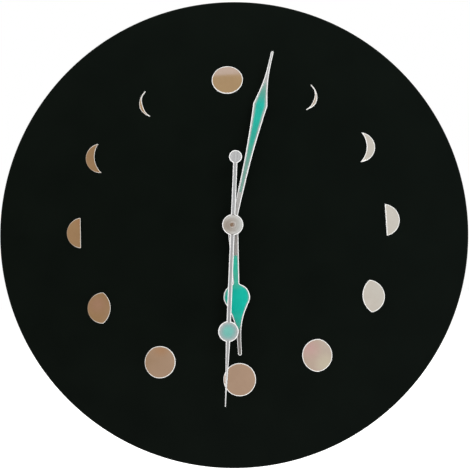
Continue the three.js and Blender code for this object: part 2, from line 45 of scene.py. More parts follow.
scene.view_settings.view_transform = "Standard"
scene.view_settings.look = "None"
scene.view_settings.exposure = 0.0
scene.view_settings.gamma = 1.0

# ---------------------------------------------------------------------------------------------
# camera: the photograph's viewpoint, a little below the hand axis and almost square on
# ---------------------------------------------------------------------------------------------
DIAL_FRONT = 20.0  # depth of the dial's front face from the wall, mm

CAM_ELEV, CAM_AZIM, CAM_ROLL = math.radians(-4.99), math.radians(0.4753), math.radians(-2.3625)
CAM_DIST, CAM_FOCAL_PX = 340.0, 531.669
CAM_TARGET = Vector((1.0476, -DIAL_FRONT, -5.6668))

back = Vector((math.sin(CAM_AZIM) * math.cos(CAM_ELEV), -math.cos(CAM_AZIM) * math.cos(CAM_ELEV), math.sin(CAM_ELEV)))
right = (-back).cross(Vector((0, 0, 1))).normalized()
up = right.cross(-back)
right_r = math.cos(CAM_ROLL) * right + math.sin(CAM_ROLL) * up
up_r = -math.sin(CAM_ROLL) * right + math.cos(CAM_ROLL) * up
cam_data = bpy.data.cameras.new("camera")
cam_data.sensor_width = 36.0
cam_data.lens = 36.0 * CAM_FOCAL_PX / 470.0
cam_data.clip_start, cam_data.clip_end = 0.01, 50.0
cam = bpy.data.objects.new("camera", cam_data)
scene.collection.objects.link(cam)
place = Matrix((right_r, up_r, back)).transposed().to_4x4()
place.translation = (CAM_TARGET + CAM_DIST * back) * MM
cam.matrix_world = place
scene.camera = cam


# ---------------------------------------------------------------------------------------------
# node helpers
# ---------------------------------------------------------------------------------------------
class Mat:
    """A principled material with a few short ways of adding procedural detail."""

    def __init__(self, name, color, rough, metal=0.0, **sockets):
        self.m = bpy.data.materials.new(name)
        self.m.use_nodes = True
        self.t = self.m.node_tree
        self.b = self.t.nodes["Principled BSDF"]
        self.set("Base Color", (*color, 1.0))
        self.set("Roughness", rough)
        self.set("Metallic", metal)
        for k, v in sockets.items():
            self.set(k.replace("_", " "), v)
        self._coords = None

    def set(self, socket, value):
        self.b.inputs[socket].default_value = value

    def node(self, kind, **values):
        n = self.t.nodes.new(kind)
        for k, v in values.items():
            if hasattr(n, k):
                setattr(n, k, v)
            else:
                n.inputs[k.replace("_", " ")].default_value = v
        return n

    def link(self, a, b):
        self.t.links.new(a, b)
        return a

    def coords(self, scale=(1, 1, 1), rot=(0, 0, 0), loc=(0, 0, 0)):
        if self._coords is None:
            self._coords = self.node("ShaderNodeTexCoord").outputs["Object"]
        m = self.node("ShaderNodeMapping")
        m.inputs["Scale"].default_value = scale
        m.inputs["Rotation"].default_value = rot
        m.inputs["Location"].default_value = loc
        self.link(self._coords, m.inputs["Vector"])
        return m.outputs["Vector"]

    def noise(self, scale, detail=2.0, rough=0.5, distort=0.0, stretch=(1, 1, 1), rot=(0, 0, 0), loc=(0, 0, 0)):
        n = self.node("ShaderNodeTexNoise")
        n.inputs["Scale"].default_value = scale
        n.inputs["Detail"].default_value = detail
        n.inputs["Roughness"].default_value = rough
        n.inputs["Distortion"].default_value = distort
        self.link(self.coords(stretch, rot, loc), n.inputs["Vector"])
        return n.outputs["Fac"]

    def ramp(self, fac, stops, interpolation="LINEAR"):
        n = self.node("ShaderNodeValToRGB")
        n.color_ramp.interpolation = interpolation
        e = n.color_ramp.elements
        while len(e) < len(stops):
            e.new(0.5)
        for el, (p, c) in zip(e, stops):
            el.position = p
            el.color = (*c, 1.0) if isinstance(c, tuple) else (c, c, c, 1.0)
        self.link(fac, n.inputs["Fac"])
        return n.outputs["Color"]

    def math(self, op, a, b=None, clamp=False):
        n = self.node("ShaderNodeMath")
        n.operation = op
        n.use_clamp = clamp
        for i, v in enumerate((a, b)):
            if v is None:
                continue
            if isinstance(v, (int, float)):
                n.inputs[i].default_value = v
            else:
                self.link(v, n.inputs[i])
        return n.outputs[0]

    def mix(self, fac, a, b):
        n = self.node("ShaderNodeMix")
        n.data_type = "RGBA"
        for s, v in ((n.inputs["Factor"], fac), (n.inputs[6], a), (n.inputs[7], b)):
            if isinstance(v, (int, float)):
                s.default_value = v
            elif isinstance(v, tuple):
                s.default_value = (*v, 1.0)
            else:
                self.link(v, s)
        return n.outputs[2]

    def color(self, out):
        self.link(out, self.b.inputs["Base Color"])

    def rough(self, fac, low, high):
        n = self.node("ShaderNodeMapRange")
        n.inputs["To Min"].default_value = low
        n.inputs["To Max"].default_value = high
        self.link(fac, n.inputs["Value"])
        self.link(n.outputs["Result"], self.b.inputs["Roughness"])

    def bump(self, height, strength, distance_mm, then=None):
        n = self.node("ShaderNodeBump")
        n.inputs["Strength"].default_value = strength
        n.inputs["Distance"].default_value = distance_mm * MM
        self.link(height, n.inputs["Height"])
        if then is not None:
            self.link(then, n.inputs["Normal"])
        self.link(n.outputs["Normal"], self.b.inputs["Normal"])
        return n.outputs["Normal"]

    def axis(self, which):
        n = self.node("ShaderNodeSeparateXYZ")
        self.link(self.coords(), n.inputs["Vector"])
        return n.outputs[which]


def radius(mat, a="X", b="Z"):
    """Distance from the object's own Y axis, in metres."""
    x, z = mat.axis(a), mat.axis(b)
    return mat.math("SQRT", mat.math("ADD", mat.math("MULTIPLY", x, x), mat.math("MULTIPLY", z, z)))


# ---------------------------------------------------------------------------------------------
# materials
# ---------------------------------------------------------------------------------------------
def dial_material(name, low, high, r0, r1, spec):
    m = Mat(name, high, r0, Specular_IOR_Level=spec)
    m.color(m.ramp(m.noise(38, 5, 0.6), [(0.3, low), (0.7, high)]))
    m.rough(m.noise(55, 4, 0.6, loc=(3, 1, 2)), r0, r1)
    n = m.bump(m.noise(420, 2), 0.10, 0.05)
    m.bump(m.noise(2600, 2), 0.10, 0.02, n)
    return m


DIAL = dial_material("dial_satin_black", (0.0017, 0.0034, 0.0025), (0.0025, 0.0046, 0.0033), 0.36, 0.46, 0.04)
DIAL_BACKING = dial_material("dial_back_black", (0.006, 0.0068, 0.0062), (0.0095, 0.0102, 0.0094), 0.55, 0.7, 0.3)


def edge_material():
    m = Mat("dial_cut_edge", (0.008, 0.009, 0.008), 0.5, Specular_IOR_Level=0.3)
    lines = m.noise(900, 3, 0.6, stretch=(0.08, 6.0, 0.08))
    m.color(m.ramp(lines, [(0.3, (0.005, 0.006, 0.005)), (0.75, (0.014, 0.015, 0.014))]))
    m.rough(m.noise(300, 3), 0.38, 0.6)
    m.bump(lines, 0.25, 0.04)
    return m


DIAL_EDGE = edge_material()


def mirror_material():
    m = Mat("mirror_acrylic", (0.9, 0.885, 0.86), 0.05, 1.0)
    smear = m.noise(70, 5, 0.65, 0.6)
    m.rough(smear, 0.015, 0.06)
    m.color(m.ramp(m.noise(110, 3, 0.6, loc=(5, 0, 2)), [(0.3, (0.86, 0.84, 0.81)), (0.7, (0.92, 0.905, 0.885))]))
    n = m.bump(m.noise(45, 1.5, 0.4), 0.10, 0.25)
    m.bump(m.noise(2200, 2), 0.02, 0.01, n)
    return m


MIRROR = mirror_material()


def mirror_edge_material():
    m = Mat("mirror_cut_edge", (0.94, 0.935, 0.92), 0.15, 1.0)
    lines = m.noise(1500, 2, 0.6, stretch=(1, 0.08, 1))
    m.color(m.ramp(lines, [(0.3, (0.9, 0.895, 0.88)), (0.7, (0.98, 0.975, 0.96))]))
    # metallic is 1 on the marks at the far left (x below -80 mm) and 0.12 from x = -40 mm rightwards, so the far-left
    # edges mirror the dim warm room and the others turn a diffuse near-white that the lamps light: painted shade on the
    # left marks and a painted highlight on the rest, set by where a mark sits
    painted_side_light = m.node("ShaderNodeMapRange")
    painted_side_light.inputs["From Min"].default_value = -0.08
    painted_side_light.inputs["From Max"].default_value = -0.04
    painted_side_light.inputs["To Min"].default_value = 1.0
    painted_side_light.inputs["To Max"].default_value = 0.12
    m.link(m.axis("X"), painted_side_light.inputs["Value"])
    m.link(painted_side_light.outputs["Result"], m.b.inputs["Metallic"])
    m.rough(lines, 0.1, 0.22)
    m.bump(lines, 0.08, 0.01)
    return m


MIRROR_EDGE = mirror_edge_material()


def hand_material(name, spun_r, dark, pale, painted_shading, metallic=0.5):
    """Satin aluminium: drawn along the hand, spun in rings around its hub. The (mm along the hand, brightness) pairs
    are painted light and shade that make stretches of one sheet lighter or darker.
    """
    m = Mat(name, (0.6, 0.62, 0.64), 0.36, 0.9)
    streak = m.noise(950, 5, 0.7, stretch=(1, 1, 0.012))
    wide = m.noise(160, 3, 0.5, stretch=(1, 1, 0.2))
    r = radius(m)
    rings = m.node("ShaderNodeTexNoise", noise_dimensions="1D")
    rings.inputs["Scale"].default_value = 900.0
    rings.inputs["Detail"].default_value = 5.0
    m.link(r, rings.inputs["W"])
    hub = m.math("LESS_THAN", r, spun_r * MM)
    grain = m.mix(hub, streak, rings.outputs["Fac"])
    silver = m.mix(m.math("MULTIPLY", wide, 0.5), m.ramp(grain, [(0.3, dark), (0.7, pale)]), tuple((a + b) / 2 for a, b in zip(dark, pale)))
    lo, hi = painted_shading[0][0], painted_shading[-1][0]
    along = m.node("ShaderNodeMapRange")
    along.inputs["From Min"].default_value = lo * MM
    along.inputs["From Max"].default_value = hi * MM
    m.link(m.axis("Z"), along.inputs["Value"])
    # brightness steps along the hand: painted light and shade on one sheet of metal
    painted_shade_tint = m.node("ShaderNodeHueSaturation")
    m.link(silver, painted_shade_tint.inputs["Color"])
    m.link(m.math("MULTIPLY", m.ramp(along.outputs["Result"], [((z - lo) / (hi - lo), v / 2) for z, v in painted_shading]), 2.0), painted_shade_tint.inputs["Value"])
    m.color(painted_shade_tint.outputs["Color"])
    m.link(m.math("ADD", metallic, m.math("MULTIPLY", hub, 0.3)), m.b.inputs["Metallic"])
    m.rough(grain, 0.28, 0.46)
    m.bump(grain, 0.16, 0.02)
    return m


def hand_edge_highlight_material():
    # near-white and far paler than the faces of the same sheet, so every rolled edge reads as a bright rim: a painted
    # highlight
    m = Mat("hand_stamped_edge_painted_highlight", (0.95, 0.95, 0.95), 0.3, 0.1)
    m.rough(m.noise(900, 3), 0.2, 0.4)
    m.color(m.ramp(m.noise(700, 2), [(0.3, (0.9, 0.9, 0.9)), (0.7, (0.99, 0.99, 0.99))]))
    return m


# the hour hand's silver is darker than the other hands' and darker again beyond 62 mm: painted shade on the same
# aluminium
HOUR_METAL_SHADED = hand_material("hand_silver_hour_painted_shade", 5.9, (0.285, 0.285, 0.285), (0.46, 0.46, 0.46), [(0, 1.0), (62, 1.0), (68, 0.54), (82, 0.54)])
# the minute hand darkens towards its tip and the second hand's tail disc is lighter than its shaft: painted shade and
# painted light
MINUTE_METAL = hand_material("hand_silver_minute", 6.2, (0.4, 0.415, 0.425), (0.62, 0.64, 0.65), [(0, 1.0), (60, 0.94), (100, 0.88), (116, 0.88)])
SECOND_METAL = hand_material("hand_silver_second", 6.5, (0.37, 0.395, 0.42), (0.58, 0.615, 0.65), [(-48, 1.09), (-39.4, 1.09), (-38.8, 0.87), (112, 0.86)])
HUB_METAL = hand_material("hand_silver_hub", 6.5, (0.512, 0.536, 0.546), (0.735, 0.77, 0.78), [(-7, 1.0), (7, 1.0)], 0.62)
HAND_EDGE_HIGHLIGHT = hand_edge_highlight_material()


def lume_material(name, stops, emission, worn, core):
    """Luminous paint: fine pigment grain, thinner and greyer where the stops along the hand say so."""
    m = Mat(name, stops[-1][1], 0.75, Specular_IOR_Level=0.08)
    z = m.axis("Z")
    lo, hi = stops[0][0], stops[-1][0]
    along = m.node("ShaderNodeMapRange")
    along.inputs["From Min"].default_value = lo * MM
    along.inputs["From Max"].default_value = hi * MM
    m.link(z, along.inputs["Value"])
    base = m.ramp(along.outputs["Result"], [((s - lo) / (hi - lo), c) for s, c in stops])
    across = m.node("ShaderNodeAttribute", attribute_name="across")
    border = m.node("ShaderNodeMapRange")
    border.inputs["From Min"].default_value = core
    border.inputs["From Max"].default_value = 1.0
    m.link(m.math("ADD", across.outputs["Fac"], m.math("MULTIPLY", m.math("SUBTRACT", m.noise(420, 3, 0.6), 0.5), 0.25)), border.inputs["Value"])
    grain = m.noise(2400, 4, 0.7)
    cloud = m.noise(190, 3, 0.55)
    tone = m.math("ADD", m.math("MULTIPLY", grain, 0.16), m.math("MULTIPLY", cloud, 0.34))
    dark = m.mix(border.outputs["Result"], base, worn)
    hsv = m.node("ShaderNodeHueSaturation")
    m.link(dark, hsv.inputs["Color"])
    m.link(m.math("ADD", tone, 0.76), hsv.inputs["Value"])
    m.color(hsv.outputs["Color"])
    m.link(hsv.outputs["Color"], m.b.inputs["Emission Color"])
    m.set("Emission Strength", emission)
    m.rough(grain, 0.62, 0.85)
    m.bump(grain, 0.25, 0.03)
    return m


LUME_HOUR = lume_material("lume_hour", [(19, (0.1, 0.36, 0.27)), (21, (0.04, 0.385, 0.28)), (27, (0.03, 0.385, 0.275)), (32, (0.055, 0.38, 0.275)), (37, (0.05, 0.38, 0.28)), (41, (0.007, 0.375, 0.292)),
                                       (52, (0.004, 0.375, 0.292)), (60, (0.025, 0.365, 0.275)), (66, (0.12, 0.355, 0.28))], 0.06, (0.13, 0.35, 0.29), 0.86)
LUME_MINUTE = lume_material("lume_minute", [(21, (0.155, 0.295, 0.25)), (38, (0.145, 0.285, 0.24)), (44, (0.105, 0.285, 0.23)), (49, (0.075, 0.29, 0.22)), (54, (0.032, 0.315, 0.24)), (61, (0.027, 0.325, 0.255)),
                                           (66, (0.018, 0.355, 0.28)), (80, (0.019, 0.36, 0.29)), (84, (0.055, 0.315, 0.255)), (88, (0.095, 0.29, 0.235)), (92, (0.2, 0.32, 0.285)), (95, (0.3, 0.34, 0.325))],
                            0.06, (0.24, 0.34, 0.305), 0.6)


def lume_disc_material():
    m = Mat("lume_second", (0.25, 0.52, 0.46), 0.7, Specular_IOR_Level=0.25)
    x, z = m.axis("X"), m.math("SUBTRACT", m.axis("Z"), 65.8 * MM)
    r = m.math("SQRT", m.math("ADD", m.math("MULTIPLY", x, x), m.math("MULTIPLY", z, z)))
    fade = m.node("ShaderNodeMapRange")
    fade.inputs["From Min"].default_value = 2.3 * MM
    fade.inputs["From Max"].default_value = 5.6 * MM
    m.link(m.math("ADD", r, m.math("MULTIPLY", m.math("SUBTRACT", m.noise(260, 3), 0.5), 1.6 * MM)), fade.inputs["Value"])
    grain = m.noise(2400, 4, 0.7)
    base = m.ramp(fade.outputs["Result"], [(0.0, (0.142, 0.41, 0.36)), (0.5, (0.21, 0.35, 0.34)), (1.0, (0.36, 0.38, 0.375))])
    hsv = m.node("ShaderNodeHueSaturation")
    m.link(base, hsv.inputs["Color"])
    m.link(m.math("ADD", m.math("MULTIPLY", grain, 0.2), 0.9), hsv.inputs["Value"])
    m.color(hsv.outputs["Color"])
    m.link(hsv.outputs["Color"], m.b.inputs["Emission Color"])
    m.set("Emission Strength", 0.05)
    m.rough(grain, 0.55, 0.8)
    m.bump(grain, 0.25, 0.03)
    return m


LUME_SECOND = lume_disc_material()


def metal(name, color, r0, r1, grain=700, stretch=(1, 1, 1), depth=0.02):
    m = Mat(name, color, r0, 1.0)
    g = m.noise(grain, 4, 0.6, stretch=stretch)
    dark = tuple(c * 0.82 for c in color)
    m.color(m.ramp(g, [(0.3, dark), (0.7, color)]))
    m.rough(m.noise(grain * 0.4, 3, loc=(2, 5, 1)), r0, r1)
    m.bump(g, 0.12, depth)
    return m


BRASS = metal("brass_turned", (0.68, 0.5, 0.24), 0.22, 0.4)
RIVET = metal("second_hand_rivet", (0.6, 0.57, 0.555), 0.16, 0.3)
STEEL = metal("spring_steel_plated", (0.66, 0.65, 0.63), 0.18, 0.36, 500, (1, 1, 0.2))
IRON = metal("motor_lamination", (0.36, 0.36, 0.37), 0.3, 0.5)
MAGNET = metal("sintered_magnet", (0.12, 0.12, 0.13), 0.35, 0.55)


def plastic(name, color, r0, r1, texture=1500, depth=0.03, strength=0.2, **sockets):
    m = Mat(name, color, r0, **sockets)
    dark = tuple(c * 0.78 for c in color)
    m.color(m.ramp(m.noise(120, 4, 0.6), [(0.3, dark), (0.7, color)]))
    m.rough(m.noise(200, 3, loc=(1, 4, 2)), r0, r1)
    m.bump(m.noise(texture, 3, 0.6), strength, depth)
    return m


CASE = plastic("moulded_black_case", (0.021, 0.021, 0.023), 0.42, 0.6, 1900, 0.06, 0.35)
COVER = plastic("moulded_black_cover", (0.024, 0.024, 0.026), 0.45, 0.62, 1700, 0.07, 0.4)
WHITE = plastic("acetal_white", (0.64, 0.625, 0.58), 0.35, 0.5, 1200, 0.02, 0.12, Subsurface_Weight=0.1, Subsurface_Radius=(0.002, 0.002, 0.0015), Subsurface_Scale=0.3)
KNOB = plastic("setting_knob_grey", (0.58, 0.57, 0.54), 0.36, 0.52, 1400, 0.03, 0.2)
RUBBER = plastic("rubber_black", (0.016, 0.016, 0.016), 0.7, 0.9, 900, 0.05, 0.3)
RESIN = plastic("potting_resin", (0.008, 0.008, 0.009), 0.15, 0.3, 300, 0.03, 0.1)
INK = plastic("moulded_mark_white", (0.62, 0.62, 0.6), 0.5, 0.65, 1500, 0.02, 0.15)


def board_material():
    """Green solder mask over straight tracks of different lengths, some ending at a tinned pad."""
    m = Mat("circuit_board_green", (0.012, 0.11, 0.045), 0.3)
    u = m.math("DIVIDE", m.axis("X"), 1.5 * MM)
    lane = m.math("FLOOR", u)
    v = m.math("ADD", m.math("DIVIDE", m.axis("Z"), 3.6 * MM), m.math("MULTIPLY", lane, 0.37))
    cell = m.node("ShaderNodeCombineXYZ")
    m.link(lane, cell.inputs["X"])
    m.link(m.math("FLOOR", v), cell.inputs["Y"])
    chance = m.node("ShaderNodeTexWhiteNoise", noise_dimensions="2D")
    m.link(cell.outputs["Vector"], chance.inputs["Vector"])
    pick = chance.outputs["Value"]
    du = m.math("SUBTRACT", m.math("FRACT", u), 0.5)
    dv = m.math("MULTIPLY", m.math("SUBTRACT", m.math("FRACT", v), 0.5), 2.4)
    away = m.math("SQRT", m.math("ADD", m.math("MULTIPLY", du, du), m.math("MULTIPLY", dv, dv)))
    track = m.math("MULTIPLY", m.math("LESS_THAN", m.math("ABSOLUTE", du), 0.16), m.math("GREATER_THAN", pick, 0.35))
    pad = m.math("MULTIPLY", m.math("LESS_THAN", away, 0.34), m.math("GREATER_THAN", pick, 0.66))
    mask = m.ramp(m.noise(700, 3), [(0.3, (0.009, 0.085, 0.034)), (0.7, (0.014, 0.12, 0.05))])
    m.color(m.mix(pad, m.mix(track, mask, (0.035, 0.2, 0.075)), (0.55, 0.55, 0.53)))
    m.link(pad, m.b.inputs["Metallic"])
    m.rough(m.noise(500, 3), 0.24, 0.4)
    m.bump(m.math("MAXIMUM", track, pad), 0.3, 0.03)
    return m


BOARD = board_material()


def winding_material():
    m = Mat("enamelled_copper", (0.5, 0.17, 0.06), 0.3, 1.0)
    w = m.node("ShaderNodeTexWave", bands_direction="X")
    w.inputs["Scale"].default_value = 1500.0
    w.inputs["Distortion"].default_value = 0.6
    m.link(m.coords(), w.inputs["Vector"])
    m.color(m.ramp(w.outputs["Fac"], [(0.1, (0.22, 0.06, 0.02)), (0.7, (0.6, 0.22, 0.08))]))
    m.bump(w.outputs["Fac"], 0.5, 0.05)
    return m


COPPER = winding_material()


def cell_material():
    """Plain shrink sleeve: graphite for most of the length, a pale band at the raised end."""
    m = Mat("cell_sleeve", (0.05, 0.055, 0.06), 0.3, Specular_IOR_Level=0.6)
    x = m.axis("X")
    along = m.node("ShaderNodeMapRange")
    along.inputs["From Min"].default_value = -0.0248
    along.inputs["From Max"].default_value = 0.0244
    m.link(x, along.inputs["Value"])
    band = m.ramp(along.outputs["Result"], [(0.0, (0.5, 0.51, 0.5)), (0.27, (0.5, 0.51, 0.5)), (0.275, (0.06, 0.2, 0.17)), (0.295, (0.06, 0.2, 0.17)), (0.3, (0.045, 0.05, 0.055)), (1.0, (0.04, 0.044, 0.05))], "CONSTANT")
    m.color(m.mix(m.math("MULTIPLY", m.noise(260, 4), 0.16), band, (0.1, 0.1, 0.1)))
    m.rough(m.noise(150, 3), 0.22, 0.4)
    m.bump(m.noise(240, 3), 0.12, 0.05)
    return m


CELL = cell_material()
CELL_END = metal("cell_end_cap", (0.7, 0.69, 0.67), 0.2, 0.36, 400)


# ---------------------------------------------------------------------------------------------
# mesh helpers: face frame x right, y up, z out of the wall, in millimetres
# ---------------------------------------------------------------------------------------------
def at(x, y, z):
    return (x * MM, -z * MM, y * MM)


def build(name, verts, faces, mats, picks=None, flat=False, turn=0.0, weighted=True):
    me = bpy.data.meshes.new(name)
    me.from_pydata([at(*v) for v in verts], [], faces)
    me.update()
    for m in mats:
        me.materials.append(m.m)
    if picks:
        me.polygons.foreach_set("material_index", picks)
    me.polygons.foreach_set("use_smooth", [not flat] * len(me.polygons))
    o = bpy.data.objects.new(name, me)
    scene.collection.objects.link(o)
    if turn:
        o.matrix_world = Matrix.Rotation(math.radians(turn), 4, "Y")
    if not flat:
        me.set_sharp_from_angle(angle=math.radians(46))
        if weighted:
            w = o.modifiers.new("flat_faces", "WEIGHTED_NORMAL")
            w.mode = "FACE_AREA"
            w.weight = 100
            w.keep_sharp = True
    return o


def offset(loop, d):
    """A counter-clockwise loop moved inwards by d."""
    n = len(loop)
    out = []
    for i in range(n):
        p, q, r = Vector(loop[i - 1]), Vector(loop[i]), Vector(loop[(i + 1) % n])
        e, f = (q - p).normalized(), (r - q).normalized()
        a, b = Vector((-e.y, e.x)), Vector((-f.y, f.x))
        m = (a + b) / max(0.35, 1 + a.dot(b))
        out.append((q.x + m.x * d, q.y + m.y * d))
    return out


def area(loop):
    return sum(loop[i - 1][0] * loop[i][1] - loop[i][0] * loop[i - 1][1] for i in range(len(loop))) / 2


def ccw(loop):
    return loop if area(loop) > 0 else loop[::-1]


def sheet_metal(name, outer, z0, z1, mats, holes=(), pockets=(), soft=0.12, steps=3, inset=None, turn=0.0, low_soft=None, wide=None):
    """A flat piece with a rounded front edge (soft deep, wide across), through holes, and pockets given as (loop, floor depth).
    inset(d) may give the outline moved inwards by d exactly; otherwise it is worked out from the outline.
    mats: front and back faces, then edges, then pocket floors."""
    verts, faces, picks = [], [], []
    outer = ccw(outer)
    move = inset or (lambda d: offset(outer, d))
    low = soft * 0.5 if low_soft is None else low_soft
    wide = soft if wide is None else wide
    curve = [(wide * (1 - math.cos(math.pi / 2 * k / steps)), z1 - soft + soft * math.sin(math.pi / 2 * k / steps)) for k in range(steps + 1)]

    def ring(loop, z):
        start = len(verts)
        verts.extend((x, y, z) for x, y in loop)
        return list(range(start, start + len(loop)))

    def wall(a, b, pick, flip=False):
        n = len(a)
        for i in range(n):
            j = (i + 1) % n
            q = [a[i], a[j], b[j], b[i]]
            faces.append(q[::-1] if flip else q)
            picks.append(pick)

    def cap(loops, z_up, pick):
        flat_ids = [i for l in loops for i in l]
        tris = tessellate_polygon([[Vector((verts[i][0], verts[i][1], 0)) for i in l] for l in loops])
        for t in tris:
            ids = [flat_ids[k] for k in t]
            a, b, c = (verts[i] for i in ids)
            turn_ = (b[0] - a[0]) * (c[1] - a[1]) - (c[0] - a[0]) * (b[1] - a[1])
            if abs(turn_) < 1e-12:
                continue
            if (turn_ > 0) != z_up:
                ids = ids[::-1]
            faces.append(ids)
            picks.append(pick)

    bottom = ring(move(low), z0)
    rings_ = [bottom, ring(move(0.0), z0 + low)] + [ring(move(d), z) for d, z in curve]
    for a, b in zip(rings_, rings_[1:]):
        wall(a, b, 1)
    tops, bottoms = [rings_[-1]], [bottom]
    for hole in holes:
        hole = ccw(hole)
        levels = [ring(hole, z0), ring(hole, z1 - soft * 0.6), ring(offset(hole, -soft * 0.6), z1)]
        for a, b in zip(levels, levels[1:]):
            wall(a, b, 1, True)
        bottoms.append(levels[0])
        tops.append(levels[-1])
    for loop, floor in pockets:
        loop = ccw(loop)
        levels = [ring(loop, floor), ring(loop, z1 - 0.05), ring(offset(loop, -0.05), z1)]
        for a, b in zip(levels, levels[1:]):
            wall(a, b, 1, True)
        cap([levels[0]], True, 2 if len(mats) > 2 else 0)
        tops.append(levels[-1])
    cap(tops, True, 0)
    cap(bottoms, False, 0)
    return build(name, verts, faces, mats, picks, turn=turn)


def lathe(name, profile, segs, mats, picks=None, centre=(0, 0), turn=0.0, closed=False, axis="z"):
    """Turns (radius, depth) pairs about the depth axis, or about a line along x if axis is 'x'."""
    verts, faces, fpick = [], [], []
    rows = []
    for r, z in profile:
        if r < 1e-9:
            rows.append([len(verts)] * segs)
            verts.append((0.0, 0.0, z))
        else:
            rows.append(list(range(len(verts), len(verts) + segs)))
            verts.extend((r * math.cos(2 * math.pi * k / segs), r * math.sin(2 * math.pi * k / segs), z) for k in range(segs))
    pairs = list(zip(range(len(rows) - 1), range(1, len(rows))))
    if closed:
        pairs.append((len(rows) - 1, 0))
    for n, (i, j) in enumerate(pairs):
        for k in range(segs):
            q = [rows[i][k], rows[i][(k + 1) % segs], rows[j][(k + 1) % segs], rows[j][k]]
            q = list(dict.fromkeys(q))
            if len(q) > 2:
                faces.append(q)
                fpick.append(picks[n] if picks else 0)
    if axis == "x":
        verts = [(z, y + centre[0], x + centre[1]) for x, y, z in verts]
        faces = [f[::-1] for f in faces]
    else:
        verts = [(x + centre[0], y + centre[1], z) for x, y, z in verts]
    return build(name, verts, faces, mats, fpick, turn=turn)


def circle(cx, cy, r, n):
    return [(cx + r * math.cos(2 * math.pi * i / n), cy + r * math.sin(2 * math.pi * i / n)) for i in range(n)]


def put(o, body, slot, *stands_for):
    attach(o, body)
    if stands_for:
        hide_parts(*stands_for)
    return o


# ---------------------------------------------------------------------------------------------
# dial
# ---------------------------------------------------------------------------------------------
def rounded(r, z, dr, dz, soft, steps, start, end):
    """Corner points around a profile corner, as (r, z)."""
    cr, cz = r - dr * soft, z - dz * soft
    out = []
    for k in range(steps + 1):
        a = math.radians(start + (end - start) * k / steps)
        out.append((cr + soft * math.cos(a), cz + soft * math.sin(a)))
    return out


profile = (
    [(4.2, 17.3), (4.5, 17.0)]
    + rounded(150, 17.0, 1, -1, 0.3, 4, -90, 0)
    + rounded(150, 20.0, 1, 1, 0.45, 5, 0, 90)
    + [(4.5, 20.0), (4.2, 19.7)]
)
n_low, n_high = 5, 6
picks = [1] + [2] + [1] * (n_low - 1) + [1] + [1] * (n_high - 1) + [0] + [1] + [1]
dial = lathe("dial_board", profile, 288, [DIAL, DIAL_EDGE, DIAL_BACKING], picks, closed=True)
put(dial, "clock_body", "dial_black", "dial_disc")

# ---------------------------------------------------------------------------------------------
# moon marks: discs, half discs, and shapes bounded by two arcs, each with a softened cut edge
# ---------------------------------------------------------------------------------------------
MARK_RING_R = 96.4
ARC_STEP = 0.45


def inside(p, c):
    return math.hypot(p[0] - c[0], p[1] - c[1]) < c[2]


def arc(c, p, q, wanted, n):
    a0 = math.atan2(p[1] - c[1], p[0] - c[0])
    a1 = math.atan2(q[1] - c[1], q[0] - c[0])
    sweep = (a1 - a0) % (2 * math.pi)
    mid = a0 + sweep / 2
    if not wanted((c[0] + c[2] * math.cos(mid), c[1] + c[2] * math.sin(mid))):
        sweep -= 2 * math.pi
    return [(c[0] + c[2] * math.cos(a0 + sweep * i / n), c[1] + c[2] * math.sin(a0 + sweep * i / n)) for i in range(n)]


def crossings(a, b):
    dx, dy = b[0] - a[0], b[1] - a[1]
    d = math.hypot(dx, dy)
    along = (a[2] ** 2 - b[2] ** 2 + d * d) / (2 * d)
    across = math.sqrt(a[2] ** 2 - along ** 2)
    mx, my = a[0] + along * dx / d, a[1] + along * dy / d
    return (mx - across * dy / d, my + across * dx / d), (mx + across * dy / d, my - across * dx / d)


def moon(a, b, crescent):
    def at_inset(d):
        ia = (a[0], a[1], a[2] - d)
        ib = (b[0], b[1], b[2] + d if crescent else b[2] - d)
        p, q = crossings(ia, ib)
        return ccw(arc(ia, p, q, lambda m: inside(m, ib) != crescent, 72) + arc(ib, q, p, lambda m: inside(m, ia), 64))
    return at_inset


def half_moon(a, edge, side):
    def at_inset(d):
        e = edge + side * d
        ia = (a[0], a[1], a[2] - d)
        rise = math.sqrt(ia[2] ** 2 - (e - ia[0]) ** 2)
        p, q = (e, ia[1] + rise), (e, ia[1] - rise)
        straight = [(e, q[1] + (p[1] - q[1]) * i / 24) for i in range(24)]
        return ccw(arc(ia, p, q, lambda m: (m[0] - e) * side > 0, 72) + straight)
    return at_inset


def full_moon(cx, cy, r):
    return lambda d: circle(cx, cy, r - d, 128)


def sickle(spine, n=72):
    """A thin crescent along its middle line, from (x, y, half width) points joined by a smooth curve, with rounded tips."""
    pts, run = [], [0.0]
    for i in range(len(spine) - 1):
        p = [spine[max(i - 1, 0)], spine[i], spine[i + 1], spine[min(i + 2, len(spine) - 1)]]
        for k in range(10):
            t = k / 10
            pts.append([0.5 * (2 * b + (c - a) * t + (2 * a - 5 * b + 4 * c - e) * t * t + (3 * b - a - 3 * c + e) * t ** 3) for a, b, c, e in zip(*p)])
    pts.append(list(spine[-1]))
    for a, b in zip(pts, pts[1:]):
        run.append(run[-1] + math.hypot(b[0] - a[0], b[1] - a[1]))

    def at(s, d):
        k = max(i for i in range(len(run) - 1) if run[i] <= s)
        a, b, l = pts[k], pts[k + 1], run[k + 1] - run[k]
        x, y, w = (p + (q - p) * (s - run[k]) / l for p, q in zip(a, b))
        return x, y, max(w - d, 0.04), (b[0] - a[0]) / l, (b[1] - a[1]) / l

    def at_inset(d):
        rows = [at(d + (run[-1] - 2 * d) * i / (n - 1), d) for i in range(n)]
        left = [(x - w * ty, y + w * tx) for x, y, w, tx, ty in rows]
        right = [(x + w * ty, y - w * tx) for x, y, w, tx, ty in rows]

        def cap(row, s):
            x, y, w, tx, ty = row
            turns = [math.pi * k / 6 for k in range(1, 6)]
            return [(x + s * w * (math.sin(a) * tx - math.cos(a) * ty), y + s * w * (math.sin(a) * ty + math.cos(a) * tx)) for a in turns]
        return ccw(left + cap(rows[-1], 1) + right[::-1] + cap(rows[0], -1))
    return at_inset


